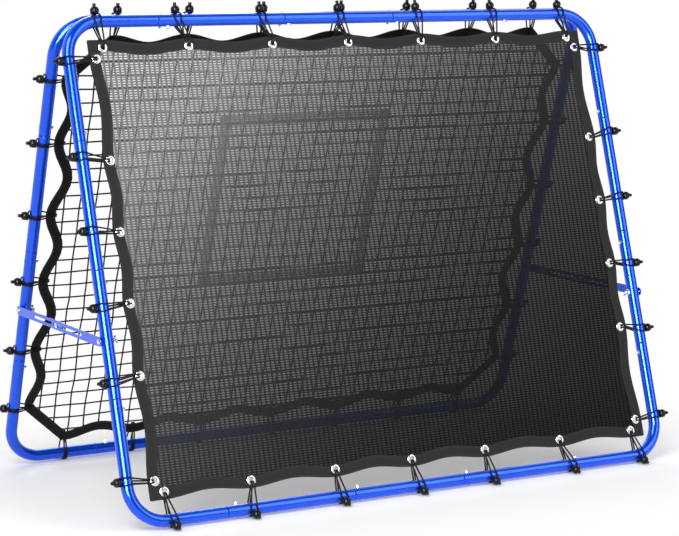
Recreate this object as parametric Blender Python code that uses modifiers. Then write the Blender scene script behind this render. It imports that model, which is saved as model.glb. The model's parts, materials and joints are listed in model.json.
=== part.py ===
"""Pitch back rebounder: two leaning tube frames hinged along their tops, with a throwing mat on the
front frame, a net with a strike zone band on the back one, and a slotted brace on each side.

Metres, +Z up. X runs along the rails, the mat faces -Y, and the origin is on the ground midway
between the feet. Each frame is built hanging from the hinge axis, in the space of an empty that lies
on that axis, and the empty leans it outwards.
"""

from math import acos, ceil, cos, degrees, floor, pi, radians, sin

import bmesh
import bpy
from mathutils import Vector

# ---- driving dimensions -------------------------------------------------------------------------

# Frame tube, centreline sizes
FRAME_WIDTH = 1.52
FRAME_HEIGHT = 1.19
BEND_RADIUS = 0.088
TUBE_RADIUS = 0.015
TUBE_WALL = 0.0012
TUBE_SIDES = 12
BEND_STEPS = 8
LEAN = radians(17.6)

# Joints between the tubes: a necked spigot inside the next tube
SPIGOT_LENGTH = 0.045
SPIGOT_CLEARANCE = 0.0003
SEAM_GAP = 0.0003
SEAM_GROOVE = 0.0015
RAIL_SEAM_FROM_LEFT_LEG = 0.241
RAIL_SEAM_LEFT_OF_MIDDLE = 0.173
RAIL_SEAM_RIGHT_OF_MIDDLE = 0.141
RAIL_SEAM_FROM_RIGHT_LEG = 0.301
LEG_SEAM_LOW = 0.291
LEG_SEAM_MIDDLE = 0.593
LEG_SEAM_BELOW_TOP = 0.289

# Hinges between the two top rails
HINGE_TO_TUBE = 0.00467
HINGE_PLACE = 0.33
KNUCKLE_RADIUS = 0.004
KNUCKLE_LENGTH = 0.02
HINGE_PIN_RADIUS = 0.002
LEAF_THICKNESS = 0.0018
LEAF_HEIGHT = 0.02

# Ball bungees
CORD_RADIUS = 0.002
BALL_RADIUS = 0.0105
CORD_TO_TUBE = 0.0009
STRAND_SPACING = 0.0052
WRAP_SPACING = 0.011
CORD_FLAT = 0.0006
WRAP_STEP = 30
CLEAR_OF_BALL_BEHIND = 45
CLEAR_OF_BALL_BEFORE = 25
PAST_LEAVING = 5
HOOK_START = (0.31, 0.95)
HOOK_MIDDLE = (0.78, 0.62)

# The least gap between a corner's bungee and the next, as a share of the pitch
LEAST_GAP = 0.5

# Front mat
MAT_THICKNESS = 0.0016
MAT_EDGE_INSET = 0.045
MAT_SCALLOP = 0.012
MAT_HOLE_RADIUS = 0.006
MAT_HOLE_TO_EDGE = 0.0195
MAT_RAIL_PITCH = 0.2225
MAT_RAIL_END = 0.089
MAT_LEG_PITCH = 0.171
MAT_LEG_END = 0.0935

# Back net
NET_BORDER_WIDTH = 0.025
NET_BORDER_THICKNESS = 0.0032
NET_CORD_WIDTH = 0.0036
NET_CORD_THICKNESS = 0.0024
NET_COLUMN_PITCH = 0.138
NET_COLUMN_END = 0.139
NET_ROW_PITCH = 0.14
NET_ROW_END = 0.175
NET_SPARE_CELLS = 2
NET_RAIL_INSET = 0.049
NET_LEG_INSET = 0.040
NET_RAIL_SCALLOP = 0.018
NET_LEG_SCALLOP = 0.036
NET_RAIL_PITCH = 0.207
NET_RAIL_END = 0.148
NET_LEG_PITCH = 0.18
NET_LEG_END = 0.147
NET_CORNER_SHIFT = 0.006
NET_LOOP_CLEARANCE = 0.0018

# Strike zone band, sewn to the net
ZONE_WIDTH = 0.467
ZONE_HEIGHT = 0.449
ZONE_BAND = 0.03
ZONE_THICKNESS = 0.0015
ZONE_MIDDLE_X = -0.038
ZONE_ABOVE_MIDDLE = 0.0995

# Side braces
BRACE_ABOVE_RAIL = 0.428
BRACE_WIDTH = 0.022
BRACE_THICKNESS = 0.0025
BRACE_LENGTH = 0.28
BRACE_SLOT_START = 0.10
BRACE_SLOT_END = 0.268
BRACE_SLOT_CLEARANCE = 0.0004

# Bolts and wing nuts
BOLT_RADIUS = 0.003
BOLT_HOLE_CLEARANCE = 0.0003
BOLT_HEAD_RADIUS = 0.0065
BOLT_HEAD_HEIGHT = 0.004
SHOULDER_RADIUS = 0.007
NUT_RADIUS = 0.0065
NUT_HEIGHT = 0.0055
BOLT_PAST_NUT = 0.003
WING_REACH = 0.013
WING_ROOT = 0.0045
WING_THICKNESS = 0.0022
WING_HEIGHT = 0.008
WING_LAP = 0.003

FACE_GAP = 0.0003
CUT_MARGIN = 0.01

# ---- sizes that follow ---------------------------------------------------------------------------

HALF_WIDTH = FRAME_WIDTH / 2
LEG_SEAM_HIGH = FRAME_HEIGHT - LEG_SEAM_BELOW_TOP
RAIL_SEAMS = (
    RAIL_SEAM_FROM_LEFT_LEG - HALF_WIDTH,
    -RAIL_SEAM_LEFT_OF_MIDDLE,
    RAIL_SEAM_RIGHT_OF_MIDDLE,
    HALF_WIDTH - RAIL_SEAM_FROM_RIGHT_LEG,
)
HINGE_TO_PLANE = TUBE_RADIUS + HINGE_TO_TUBE
FRONT, BACK = -1, 1
LEFT, RIGHT = -1, 1
SIDE_NAME = {LEFT: "left", RIGHT: "right"}
FRAME_NAME = {FRONT: "front", BACK: "back"}

WRAP_RADIUS = TUBE_RADIUS + CORD_TO_TUBE + CORD_RADIUS
FOOT_HEIGHT = WRAP_RADIUS + CORD_RADIUS - CORD_FLAT
HINGE_HEIGHT = FOOT_HEIGHT + FRAME_HEIGHT * cos(LEAN) - HINGE_TO_PLANE * sin(LEAN)
BALL_DISTANCE = TUBE_RADIUS + BALL_RADIUS + FACE_GAP

BRACE_BELOW_HINGE = FRAME_HEIGHT - BRACE_ABOVE_RAIL
BRACE_HALF_SPAN = BRACE_BELOW_HINGE * sin(LEAN) + HINGE_TO_PLANE * cos(LEAN)
INNER_BAR_FACE = TUBE_RADIUS + FACE_GAP
OUTER_BAR_FACE = INNER_BAR_FACE + BRACE_THICKNESS + FACE_GAP

# ---- scene helpers -------------------------------------------------------------------------------


def clear_scene():
    for thing in list(bpy.data.objects):
        bpy.data.objects.remove(thing, do_unlink=True)


def new_collection(name):
    group = bpy.data.collections.new(name)
    bpy.context.scene.collection.children.link(group)
    return group


def material(name, colour, roughness, metallic=0.0):
    made = bpy.data.materials.new(name)
    made.use_nodes = True
    shader = made.node_tree.nodes["Principled BSDF"]
    shader.inputs["Base Color"].default_value = (*colour, 1.0)
    shader.inputs["Roughness"].default_value = roughness
    shader.inputs["Metallic"].default_value = metallic
    return made


def place(thing, parent, location=(0, 0, 0), rotation=(0, 0, 0)):
    thing.parent = parent
    thing.location = location
    thing.rotation_euler = rotation
    return thing


def empty(name, parent=None, location=(0, 0, 0), rotation=(0, 0, 0)):
    return place(add_object(name, None, PARTS), parent, location, rotation)


def add_object(name, data, group):
    thing = bpy.data.objects.new(name, data)
    group.objects.link(thing)
    if group is CUTTERS:
        thing.hide_render = True
        thing.display_type = "WIRE"
    return thing


def smooth(mesh):
    mesh.shade_smooth()
    mesh.set_sharp_from_angle(angle=radians(40))


def mesh_object(name, shape, finish, group):
    """An object from a bmesh, which it frees."""
    bmesh.ops.recalc_face_normals(shape, faces=shape.faces)
    mesh = bpy.data.meshes.new(name)
    shape.to_mesh(mesh)
    shape.free()
    if finish:
        mesh.materials.append(finish)
    return add_object(name, mesh, group)


def mesh_from_curve(name, curve, finish, group):
    """The curve's own surface as a mesh object, its caps welded on."""
    source = bpy.data.objects.new(name + "_curve", curve)
    bpy.context.scene.collection.objects.link(source)
    graph = bpy.context.evaluated_depsgraph_get()
    mesh = bpy.data.meshes.new_from_object(source.evaluated_get(graph))
    bpy.data.objects.remove(source)
    shape = bmesh.new()
    shape.from_mesh(mesh)
    bpy.data.meshes.remove(mesh)
    bmesh.ops.remove_doubles(shape, verts=shape.verts, dist=1e-6)
    return mesh_object(name, shape, finish, group)


def poly_spline(curve, points, radii=None, cyclic=False):
    spline = curve.splines.new("POLY")
    spline.points.add(len(points) - 1)
    for number, (point, place_in) in enumerate(zip(spline.points, points)):
        point.co = (*place_in, 1.0)
        point.radius = radii[number] if radii else 1.0
    spline.use_cyclic_u = cyclic


def wire_curve(name, points, radius, sides, capped, radii=None):
    """A round wire along the points; the bevel resolution gives four sides and two more a step."""
    curve = bpy.data.curves.new(name, "CURVE")
    curve.dimensions = "3D"
    curve.bevel_depth = radius
    curve.bevel_resolution = (sides - 4) // 2
    curve.use_fill_caps = capped
    poly_spline(curve, points, radii)
    return curve


def plate(name, outlines, thickness, finish, group):
    """A flat plate about its own XY plane; outlines after the first are holes."""
    curve = bpy.data.curves.new(name, "CURVE")
    curve.dimensions = "2D"
    curve.fill_mode = "BOTH"
    curve.extrude = thickness / 2
    for outline in outlines:
        poly_spline(curve, [(x, y, 0.0) for x, y in outline], cyclic=True)
    return mesh_from_curve(name, curve, finish, group)


def boolean(thing, other, operation, solver="EXACT"):
    cut = thing.modifiers.new(other.name, "BOOLEAN")
    cut.object = other
    cut.operation = operation
    cut.solver = solver


def box(name, size, group, finish=None):
    shape = bmesh.new()
    bmesh.ops.create_cube(shape, size=1.0)
    bmesh.ops.scale(shape, vec=size, verts=shape.verts)
    return mesh_object(name, shape, finish, group)


def turned(name, profile, finish, steps=12, ring=False):
    """A turned piece about its own Z; the profile of (radius, height) runs down its outer side."""
    mesh = bpy.data.meshes.new(name)
    ends = [(n, n + 1) for n in range(len(profile) - 1)]
    if ring:
        ends.append((len(profile) - 1, 0))
    mesh.from_pydata([(radius, 0.0, height) for radius, height in profile], ends, [])
    mesh.materials.append(finish)
    thing = add_object(name, mesh, PARTS)
    spin = thing.modifiers.new("turn", "SCREW")
    spin.steps = steps
    spin.render_steps = steps
    spin.use_merge_vertices = True
    spin.merge_threshold = 0.0001
    spin.use_smooth_shade = False
    return thing


def arc(centre, radius, start, end, steps):
    """Points (x, y) of an arc; the angles are in degrees."""
    turns = [radians(start + (end - start) * n / steps) for n in range(steps + 1)]
    return [(centre[0] + radius * cos(t), centre[1] + radius * sin(t)) for t in turns]


# ---- frame tubes ---------------------------------------------------------------------------------


def tube(name, path, neck_start, neck_end, frame):
    """A hollow tube along the path of (x, height above the bottom rail), with a spigot on a necked end.

    The path's ends are the seams. A plain end stops at its seam; a necked end stops short of it and
    carries on as a spigot that fits the next tube's bore.
    """
    bore = TUBE_RADIUS - TUBE_WALL
    spigot = (bore - SPIGOT_CLEARANCE) / TUBE_RADIUS
    points = [Vector(point) for point in path]
    radii = [1.0] * len(points)
    for necked, end, inside in ((neck_start, 0, 1), (neck_end, -1, -2)):
        if not necked:
            continue
        seam = points[end]
        along = (seam - points[inside]).normalized()
        neck = [
            (seam - along * (SEAM_GAP + SEAM_GROOVE), 1.0),
            (seam - along * SEAM_GAP, spigot),
            (seam + along * SPIGOT_LENGTH, spigot),
        ]
        if end == 0:
            points[:1] = [point for point, _ in reversed(neck)]
            radii[:1] = [radius for _, radius in reversed(neck)]
        else:
            points[-1:] = [point for point, _ in neck]
            radii[-1:] = [radius for _, radius in neck]
    places = [(x, frame * HINGE_TO_PLANE, height - FRAME_HEIGHT) for x, height in points]
    curve = wire_curve(name, places, TUBE_RADIUS, TUBE_SIDES, False, radii)
    made = mesh_from_curve(name, curve, PAINT, PARTS)
    wall = made.modifiers.new("wall", "SOLIDIFY")
    wall.thickness = TUBE_WALL
    wall.offset = -1.0
    wall.use_even_offset = True
    smooth(made.data)
    return place(made, AXIS[frame])


def bend_path(side, top):
    """A corner from its rail seam round to its leg seam."""
    rail = FRAME_HEIGHT if top else 0.0
    toward = -1 if top else 1
    centre = (side * (HALF_WIDTH - BEND_RADIUS), rail + toward * BEND_RADIUS)
    start = 90 if top else -90
    sweep = -90 if side * (1 if top else -1) > 0 else 90
    seam = RAIL_SEAMS[0] if side == LEFT else RAIL_SEAMS[-1]
    leg_seam = LEG_SEAM_HIGH if top else LEG_SEAM_LOW
    bend = arc(centre, BEND_RADIUS, start, start + sweep, BEND_STEPS)
    return [(seam, rail), *bend, (side * HALF_WIDTH, leg_seam)]


def frame_tubes(frame):
    """The fourteen tubes of one frame; returns the lower leg tubes, which carry the braces."""
    prefix = FRAME_NAME[frame]
    for top, level in ((True, "top"), (False, "bottom")):
        rail = FRAME_HEIGHT if top else 0.0
        for side in (LEFT, RIGHT):
            name = f"{prefix}_{level}_{SIDE_NAME[side]}_bend"
            tube(name, bend_path(side, top), side == LEFT, False, frame)
        for n, part in enumerate(("left", "middle", "right")):
            path = [(RAIL_SEAMS[n], rail), (RAIL_SEAMS[n + 1], rail)]
            tube(f"{prefix}_{level}_rail_{part}", path, False, True, frame)
    lower = {}
    for side in (LEFT, RIGHT):
        leg = side * HALF_WIDTH
        name = f"{prefix}_{SIDE_NAME[side]}_leg"
        tube(name + "_upper", [(leg, LEG_SEAM_MIDDLE), (leg, LEG_SEAM_HIGH)], True, True, frame)
        path = [(leg, LEG_SEAM_LOW), (leg, LEG_SEAM_MIDDLE)]
        lower[side] = tube(name + "_lower", path, True, False, frame)
    return lower


# ---- hinges --------------------------------------------------------------------------------------


def hinge_half(frame, side):
    """The front half carries the pin and the back half the socket that turns on it."""
    inner, outer = FACE_GAP / 2, FACE_GAP / 2 + KNUCKLE_LENGTH
    if frame == FRONT:
        name = "hinge_pin_half_" + SIDE_NAME[side]
        profile = [
            (0.0, outer),
            (HINGE_PIN_RADIUS, outer),
            (HINGE_PIN_RADIUS, -inner),
            (KNUCKLE_RADIUS, -inner),
            (KNUCKLE_RADIUS, -outer),
            (0.0, -outer),
        ]
        made = turned(name, profile, PAINT)
    else:
        name = "hinge_socket_half_" + SIDE_NAME[side]
        bore = HINGE_PIN_RADIUS + BOLT_HOLE_CLEARANCE
        profile = [
            (bore, outer),
            (KNUCKLE_RADIUS, outer),
            (KNUCKLE_RADIUS, inner),
            (bore, inner),
        ]
        made = turned(name, profile, PAINT, ring=True)
    place(made, AXIS[frame], (side * HINGE_PLACE, 0, 0), (0, radians(90), 0))
    leaf = box(name + "_leaf", (KNUCKLE_LENGTH, LEAF_THICKNESS, LEAF_HEIGHT), CUTTERS)
    along = side * HINGE_PLACE + frame * (inner + KNUCKLE_LENGTH / 2)
    out = frame * (HINGE_TO_TUBE - FACE_GAP - LEAF_THICKNESS / 2)
    place(leaf, AXIS[frame], (along, out, KNUCKLE_RADIUS / 2 - LEAF_HEIGHT / 2))
    boolean(made, leaf, "UNION")


# ---- where the bungees are -----------------------------------------------------------------------


def rail_places(pitch, end):
    """Places along a rail, left to right: evenly about the middle, then one near each corner."""
    last = HALF_WIDTH - end
    count = floor(last / pitch - LEAST_GAP)
    inner = [step * pitch for step in range(-count, count + 1)]
    return [-last, *inner, last]


def leg_places(pitch, end):
    """Heights above the bottom rail, low to high."""
    middle = FRAME_HEIGHT / 2
    count = floor((middle - end) / pitch + 0.5 - LEAST_GAP)
    inner = [middle + (step + 0.5) * pitch for step in range(-count, count)]
    return [end, *inner, FRAME_HEIGHT - end]


def scallops(places, depth, steps=3):
    """(place, how far the edge has drawn in) along an edge, sagging between one bungee and the next."""
    edge = []
    for start, end in zip(places, places[1:]):
        for n in range(steps):
            share = n / steps
            edge.append((start + (end - start) * share, depth * sin(pi * share) ** 2))
    edge.append((places[-1], 0.0))
    return edge


def closed_edge(rail_edge, leg_edge, rail_inset, leg_inset, corners):
    """The outline from its edges, anticlockwise, as (x, height above the bottom rail)."""
    side = HALF_WIDTH - leg_inset
    bottom = [(x, rail_inset + sag) for x, sag in rail_edge]
    right = [(side - sag, height) for height, sag in leg_edge]
    top = [(x, FRAME_HEIGHT - rail_inset - sag) for x, sag in reversed(rail_edge)]
    left = [(-side + sag, height) for height, sag in reversed(leg_edge)]
    if not corners:
        return bottom + right + top + left
    low, high = rail_inset, FRAME_HEIGHT - rail_inset
    lower_part = [*bottom, (side, low), *right, (side, high)]
    return [*lower_part, *top, (-side, high), *left, (-side, low)]


def shrunk(outline, inwards):
    """The outline moved inwards along its own normals; it runs anticlockwise."""
    moved = []
    for n, point in enumerate(outline):
        before = Vector(outline[n - 1])
        after = Vector(outline[(n + 1) % len(outline)])
        along = (after - before).normalized()
        moved.append((point[0] - along.y * inwards, point[1] + along.x * inwards))
    return moved


def in_frame_plane(outline):
    return [(x, height - FRAME_HEIGHT) for x, height in outline]


# ---- mat, net and strike zone --------------------------------------------------------------------


def front_mat():
    rails = rail_places(MAT_RAIL_PITCH, MAT_RAIL_END)
    legs = leg_places(MAT_LEG_PITCH, MAT_LEG_END)
    outline = closed_edge(
        scallops(rails, MAT_SCALLOP),
        scallops(legs, MAT_SCALLOP),
        MAT_EDGE_INSET,
        MAT_EDGE_INSET,
        corners=True,
    )
    reach = MAT_EDGE_INSET + MAT_HOLE_TO_EDGE
    middles = [(x, height) for x in rails for height in (reach, FRAME_HEIGHT - reach)]
    middles += [(side * (HALF_WIDTH - reach), height) for height in legs for side in (LEFT, RIGHT)]
    holes = [arc(middle, MAT_HOLE_RADIUS, 0, 315, 7) for middle in middles]
    outlines = [in_frame_plane(loop) for loop in (outline, *holes)]
    made = plate("front_mat", outlines, MAT_THICKNESS, MESH, PARTS)
    place(made, AXIS[FRONT], (0, FRONT * HINGE_TO_PLANE, 0), (radians(90), 0, 0))


def net_cells(half, end, pitch):
    """How many cells cross the net and their size; its outermost cords keep their place by the tube."""
    span = 2 * (half - end)
    count = round(span / pitch)
    return count + 2 * NET_SPARE_CELLS, span / count


def net_lattice(name):
    """Square net as one flat lattice, its outermost cords clear of the corner bungees."""
    columns, column_width = net_cells(HALF_WIDTH, NET_COLUMN_END, NET_COLUMN_PITCH)
    rows, row_height = net_cells(FRAME_HEIGHT / 2, NET_ROW_END, NET_ROW_PITCH)
    shape = bmesh.new()
    bmesh.ops.create_grid(shape, x_segments=columns, y_segments=rows, size=0.5)
    size = (columns * column_width, rows * row_height, 1.0)
    bmesh.ops.scale(shape, vec=size, verts=shape.verts)
    gaps = list(shape.faces)
    bmesh.ops.inset_individual(shape, faces=gaps, thickness=NET_CORD_WIDTH / 2, use_even_offset=True)
    bmesh.ops.delete(shape, geom=gaps, context="FACES")
    made = mesh_object(name, shape, NET, PARTS)
    wall = made.modifiers.new("cord", "SOLIDIFY")
    wall.thickness = NET_CORD_THICKNESS
    wall.offset = 0.0
    return made


def back_net():
    outline = closed_edge(
        scallops(rail_places(NET_RAIL_PITCH, NET_RAIL_END), NET_RAIL_SCALLOP),
        scallops(leg_places(NET_LEG_PITCH, NET_LEG_END), NET_LEG_SCALLOP),
        NET_RAIL_INSET,
        NET_LEG_INSET,
        corners=False,
    )
    turned_flat = (0, BACK * HINGE_TO_PLANE, 0), (radians(90), 0, 0)
    lattice = net_lattice("back_net")
    middle = BACK * HINGE_TO_PLANE, -FRAME_HEIGHT / 2
    place(lattice, AXIS[BACK], (0, *middle), (radians(90), 0, 0))
    keep = plate("net_outline", [in_frame_plane(outline)], CUT_MARGIN, None, CUTTERS)
    place(keep, AXIS[BACK], *turned_flat)
    boolean(lattice, keep, "INTERSECT", "MANIFOLD")
    edges = [in_frame_plane(shrunk(outline, way * NET_BORDER_WIDTH / 2)) for way in (-1, 1)]
    border = plate("net_border", edges, NET_BORDER_THICKNESS, None, CUTTERS)
    place(border, AXIS[BACK], *turned_flat)
    boolean(lattice, border, "UNION", "MANIFOLD")


def strike_zone():
    half, tall = ZONE_WIDTH / 2, ZONE_HEIGHT / 2
    edges = []
    for grown in (ZONE_BAND / 2, -ZONE_BAND / 2):
        x, y = half + grown, tall + grown
        edges.append([(-x, -y), (x, -y), (x, y), (-x, y)])
    made = plate("strike_zone_band", edges, ZONE_THICKNESS, BAND, PARTS)
    off_net = NET_CORD_THICKNESS / 2 + FACE_GAP + ZONE_THICKNESS / 2
    middle = ZONE_ABOVE_MIDDLE - FRAME_HEIGHT / 2
    place(made, AXIS[BACK], (ZONE_MIDDLE_X, HINGE_TO_PLANE - off_net, middle), (radians(90), 0, 0))


# ---- ball bungees --------------------------------------------------------------------------------


def around(angle, radius):
    """A place round the tube: angles run from straight out of the frame towards its face."""
    return (radius * cos(radians(angle)), radius * sin(radians(angle)))


def bungee_route(reach, lift, ball_angle, level_angle):
    """One continuous cord as (outwards, forwards, sideways).

    It starts in the ball, passes behind the tube, turns through the mat or round the net's border,
    comes back over the front of the tube, hooks round the ball, and returns the same way.
    """
    leave = degrees(acos(WRAP_RADIUS / reach))
    spread, pair = WRAP_SPACING / 2, STRAND_SPACING / 2
    behind = []
    start = ball_angle - CLEAR_OF_BALL_BEHIND - level_angle
    angle = level_angle + WRAP_STEP * ceil(start / WRAP_STEP)
    while angle > leave - 180 - PAST_LEAVING:
        behind.append((*around(angle, WRAP_RADIUS), spread))
        angle -= WRAP_STEP
    before = []
    angle = 180 - leave
    while angle > ball_angle + CLEAR_OF_BALL_BEFORE:
        before.append((*around(angle, WRAP_RADIUS), spread))
        angle -= WRAP_STEP
    ball = Vector(around(ball_angle, BALL_DISTANCE))
    out = Vector(around(ball_angle, 1.0))
    hooked = BALL_RADIUS + CORD_RADIUS / 4
    start, middle = ([hooked * share for share in places] for places in (HOOK_START, HOOK_MIDDLE))
    half = [(*ball, pair), *behind]
    half += [(-reach + lift / 3, -lift, pair), (-reach - CORD_RADIUS / 2, 0.0, pair)]
    half += [(-reach + lift / 3, lift, pair), *before]
    half += [(*(ball + out * outwards), aside) for outwards, aside in (start, middle)]
    loop_end = [(*(ball + out * hooked), 0.0)]
    return half + loop_end + [(out_, fore, -aside) for out_, fore, aside in reversed(half)], ball


def bungee(name, frame, tube_at, outwards, reach, lift, ball_angle, level_angle=0.0):
    """A ball bungee on the tube at a place in the frame's own space."""
    out = Vector(outwards)
    fore = Vector((0, frame, 0))
    aside = out.cross(fore)
    route, ball = bungee_route(reach, lift, ball_angle, level_angle)
    points = [out * a + fore * b + aside * c for a, b, c in route]
    curve = wire_curve(name, points, CORD_RADIUS, 6, True)
    made = mesh_from_curve(name, curve, ELASTIC, PARTS)
    place(made, AXIS[frame], tube_at)
    shape = bmesh.new()
    bmesh.ops.create_uvsphere(shape, u_segments=8, v_segments=6, radius=BALL_RADIUS)
    knob = mesh_object(name + "_ball", shape, None, CUTTERS)
    centre = Vector(tube_at) + out * ball[0] + fore * ball[1]
    place(knob, AXIS[frame], centre)
    boolean(made, knob, "UNION")
    return made


def bungees(frame, ground):
    """Four bungees of each frame, one near every corner; those of the bottom rail carry the part."""
    prefix = FRAME_NAME[frame] + "_bungee_"
    plane = frame * HINGE_TO_PLANE
    if frame == FRONT:
        reach = MAT_EDGE_INSET + MAT_HOLE_TO_EDGE
        lift = MAT_THICKNESS / 2 + 1.5 * FACE_GAP + CORD_RADIUS
        last = rail_places(MAT_RAIL_PITCH, MAT_RAIL_END)[-1]
    else:
        reach = NET_RAIL_INSET + NET_BORDER_WIDTH / 2 + CORD_RADIUS + NET_LOOP_CLEARANCE
        lift = NET_BORDER_THICKNESS / 2 + 1.5 * FACE_GAP + CORD_RADIUS
        last = rail_places(NET_RAIL_PITCH, NET_RAIL_END)[-1] - NET_CORNER_SHIFT
    for side in (LEFT, RIGHT):
        x = side * last
        top_name = f"{prefix}top_{SIDE_NAME[side]}"
        bungee(top_name, frame, (x, plane, 0), (0, 0, 1), reach, lift, 0.0)
        foot = bungee(
            f"{prefix}bottom_{SIDE_NAME[side]}",
            frame,
            (x, plane, -FRAME_HEIGHT),
            (0, 0, -1),
            reach,
            lift,
            90 - degrees(LEAN),
            -degrees(LEAN),
        )
        boolean(foot, ground, "DIFFERENCE")


# ---- braces, bolts and wing nuts -----------------------------------------------------------------


def brace_bar(name, pivot, side, near_face, way):
    """A slotted flat bar from its pivot, running across to the other leg; `way` is its Y direction."""
    half = BRACE_WIDTH / 2
    outline = arc((0, 0), half, 90, 270, 6) + arc((BRACE_LENGTH - half, 0), half, -90, 90, 6)
    hole = arc((0, 0), BOLT_RADIUS + BOLT_HOLE_CLEARANCE, 0, 330, 11)
    slot_half = BOLT_RADIUS + BRACE_SLOT_CLEARANCE
    slot = arc((BRACE_SLOT_START + slot_half, 0), slot_half, 90, 270, 6)
    slot += arc((BRACE_SLOT_END - slot_half, 0), slot_half, -90, 90, 6)
    made = plate(name, [outline, hole, slot], BRACE_THICKNESS, PAINT, PARTS)
    out = side * (near_face + BRACE_THICKNESS / 2)
    return place(made, pivot, (out, 0, 0), (radians(90), 0, way * radians(90)))


def wings(name, parent, side, location, base):
    """The two wings of a nut whose base is at the height `base` out from the parent's own place."""
    shape = bmesh.new()
    for way in (-1, 1):
        made = bmesh.ops.create_cube(shape, size=1.0)["verts"]
        length = WING_REACH - WING_ROOT
        bmesh.ops.scale(shape, vec=(WING_HEIGHT, length, WING_THICKNESS), verts=made)
        bmesh.ops.translate(shape, vec=(0, way * (WING_ROOT + length / 2), 0), verts=made)
    thing = mesh_object(name, shape, None, CUTTERS)
    out = side * (base - NUT_HEIGHT - WING_HEIGHT / 2 + WING_LAP)
    return place(thing, parent, Vector(location) + Vector((out, 0, 0)))


def pivot_bolt(name, parent, side, location, head_base, shoulder):
    """Bolt through a leg tube, with its wing nut run up to the tube's inner side."""
    nut_base = -INNER_BAR_FACE
    profile = [(0.0, head_base + BOLT_HEAD_HEIGHT), (BOLT_HEAD_RADIUS, head_base + BOLT_HEAD_HEIGHT)]
    profile += [(BOLT_HEAD_RADIUS, head_base), (BOLT_RADIUS, head_base)]
    if shoulder:
        outer, inner = INNER_BAR_FACE + BRACE_THICKNESS, INNER_BAR_FACE
        profile += [(BOLT_RADIUS, outer), (SHOULDER_RADIUS, outer)]
        profile += [(SHOULDER_RADIUS, inner), (BOLT_RADIUS, inner)]
    profile += [(BOLT_RADIUS, nut_base), (NUT_RADIUS, nut_base)]
    profile += [(NUT_RADIUS, nut_base - NUT_HEIGHT), (BOLT_RADIUS, nut_base - NUT_HEIGHT)]
    end = nut_base - NUT_HEIGHT - BOLT_PAST_NUT
    profile += [(BOLT_RADIUS, end), (0.0, end)]
    made = turned(name, profile, STEEL, steps=10)
    place(made, parent, location, (0, side * radians(90), 0))
    boolean(made, wings(name + "_wings", parent, side, location, nut_base), "UNION")


def lock_bolt(name, parent, side, location):
    """Bolt through both slots, with its head on the outer bar."""
    head_base = OUTER_BAR_FACE + BRACE_THICKNESS + FACE_GAP
    end = INNER_BAR_FACE - FACE_GAP - NUT_HEIGHT - BOLT_PAST_NUT
    profile = [(0.0, head_base + BOLT_HEAD_HEIGHT), (BOLT_HEAD_RADIUS, head_base + BOLT_HEAD_HEIGHT)]
    profile += [(BOLT_HEAD_RADIUS, head_base), (BOLT_RADIUS, head_base)]
    profile += [(BOLT_RADIUS, end), (0.0, end)]
    made = turned(name, profile, STEEL, steps=12)
    place(made, parent, location, (0, side * radians(90), 0))


def lock_wing_nut(name, parent, side, location):
    base = INNER_BAR_FACE - FACE_GAP
    bore = BOLT_RADIUS + BOLT_HOLE_CLEARANCE
    profile = [(bore, base), (NUT_RADIUS, base), (NUT_RADIUS, base - NUT_HEIGHT), (bore, base - NUT_HEIGHT)]
    made = turned(name, profile, STEEL, steps=12, ring=True)
    place(made, parent, location, (0, side * radians(90), 0))
    boolean(made, wings(name + "_wings", parent, side, location, base), "UNION")


def drill(leg, parent, location, name):
    """The pivot bolt's hole through both walls of a leg tube."""
    shape = bmesh.new()
    bmesh.ops.create_cone(
        shape,
        cap_ends=True,
        segments=10,
        radius1=BOLT_RADIUS + BOLT_HOLE_CLEARANCE,
        radius2=BOLT_RADIUS + BOLT_HOLE_CLEARANCE,
        depth=2 * TUBE_RADIUS + CUT_MARGIN,
    )
    cutter = mesh_object(name, shape, None, CUTTERS)
    place(cutter, parent, location, (0, radians(90), 0))
    boolean(leg, cutter, "DIFFERENCE")


def brace(side, legs):
    """Both bars of one side, the bolts they turn on, and the bolt that locks their slots together."""
    word = SIDE_NAME[side]
    pivots = {}
    for frame in (FRONT, BACK):
        at = (side * HALF_WIDTH, frame * HINGE_TO_PLANE, -BRACE_BELOW_HINGE)
        prefix = f"{FRAME_NAME[frame]}_{word}"
        pivots[frame] = empty(prefix + "_pivot", AXIS[frame], at, (-frame * LEAN, 0, 0))
        near_face = OUTER_BAR_FACE if frame == FRONT else INNER_BAR_FACE
        brace_bar(prefix + "_brace_bar", pivots[frame], side, near_face, -frame)
        head_base = near_face + BRACE_THICKNESS + FACE_GAP
        drill(legs[frame][side], AXIS[frame], at, prefix + "_bolt_hole")
        pivot_bolt(prefix + "_pivot_bolt", AXIS[frame], side, at, head_base, frame == FRONT)
    middle = (0, BRACE_HALF_SPAN, 0)
    lock_bolt(word + "_lock_bolt", pivots[FRONT], side, middle)
    lock_wing_nut(word + "_lock_wing_nut", pivots[FRONT], side, middle)


# ---- the model -----------------------------------------------------------------------------------

clear_scene()
PARTS = new_collection("pitch_back_rebounder")
CUTTERS = new_collection("cutters")

PAINT = material("blue_paint", (0.01, 0.09, 0.72), 0.25)
MESH = material("black_mesh", (0.02, 0.02, 0.022), 0.75)
NET = material("black_net", (0.012, 0.012, 0.013), 0.8)
BAND = material("tan_webbing", (0.20, 0.16, 0.09), 0.8)
ELASTIC = material("black_elastic", (0.01, 0.01, 0.01), 0.6)
STEEL = material("zinc_plate", (0.75, 0.76, 0.78), 0.3, 1.0)

AXIS = {
    frame: empty(
        FRAME_NAME[frame] + "_frame_axis",
        location=(0, 0, HINGE_HEIGHT),
        rotation=(frame * LEAN, 0, 0),
    )
    for frame in (FRONT, BACK)
}

ground = box("ground", (2 * FRAME_WIDTH, 2 * FRAME_HEIGHT, CUT_MARGIN), CUTTERS)
ground.location.z = -CUT_MARGIN / 2

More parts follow.
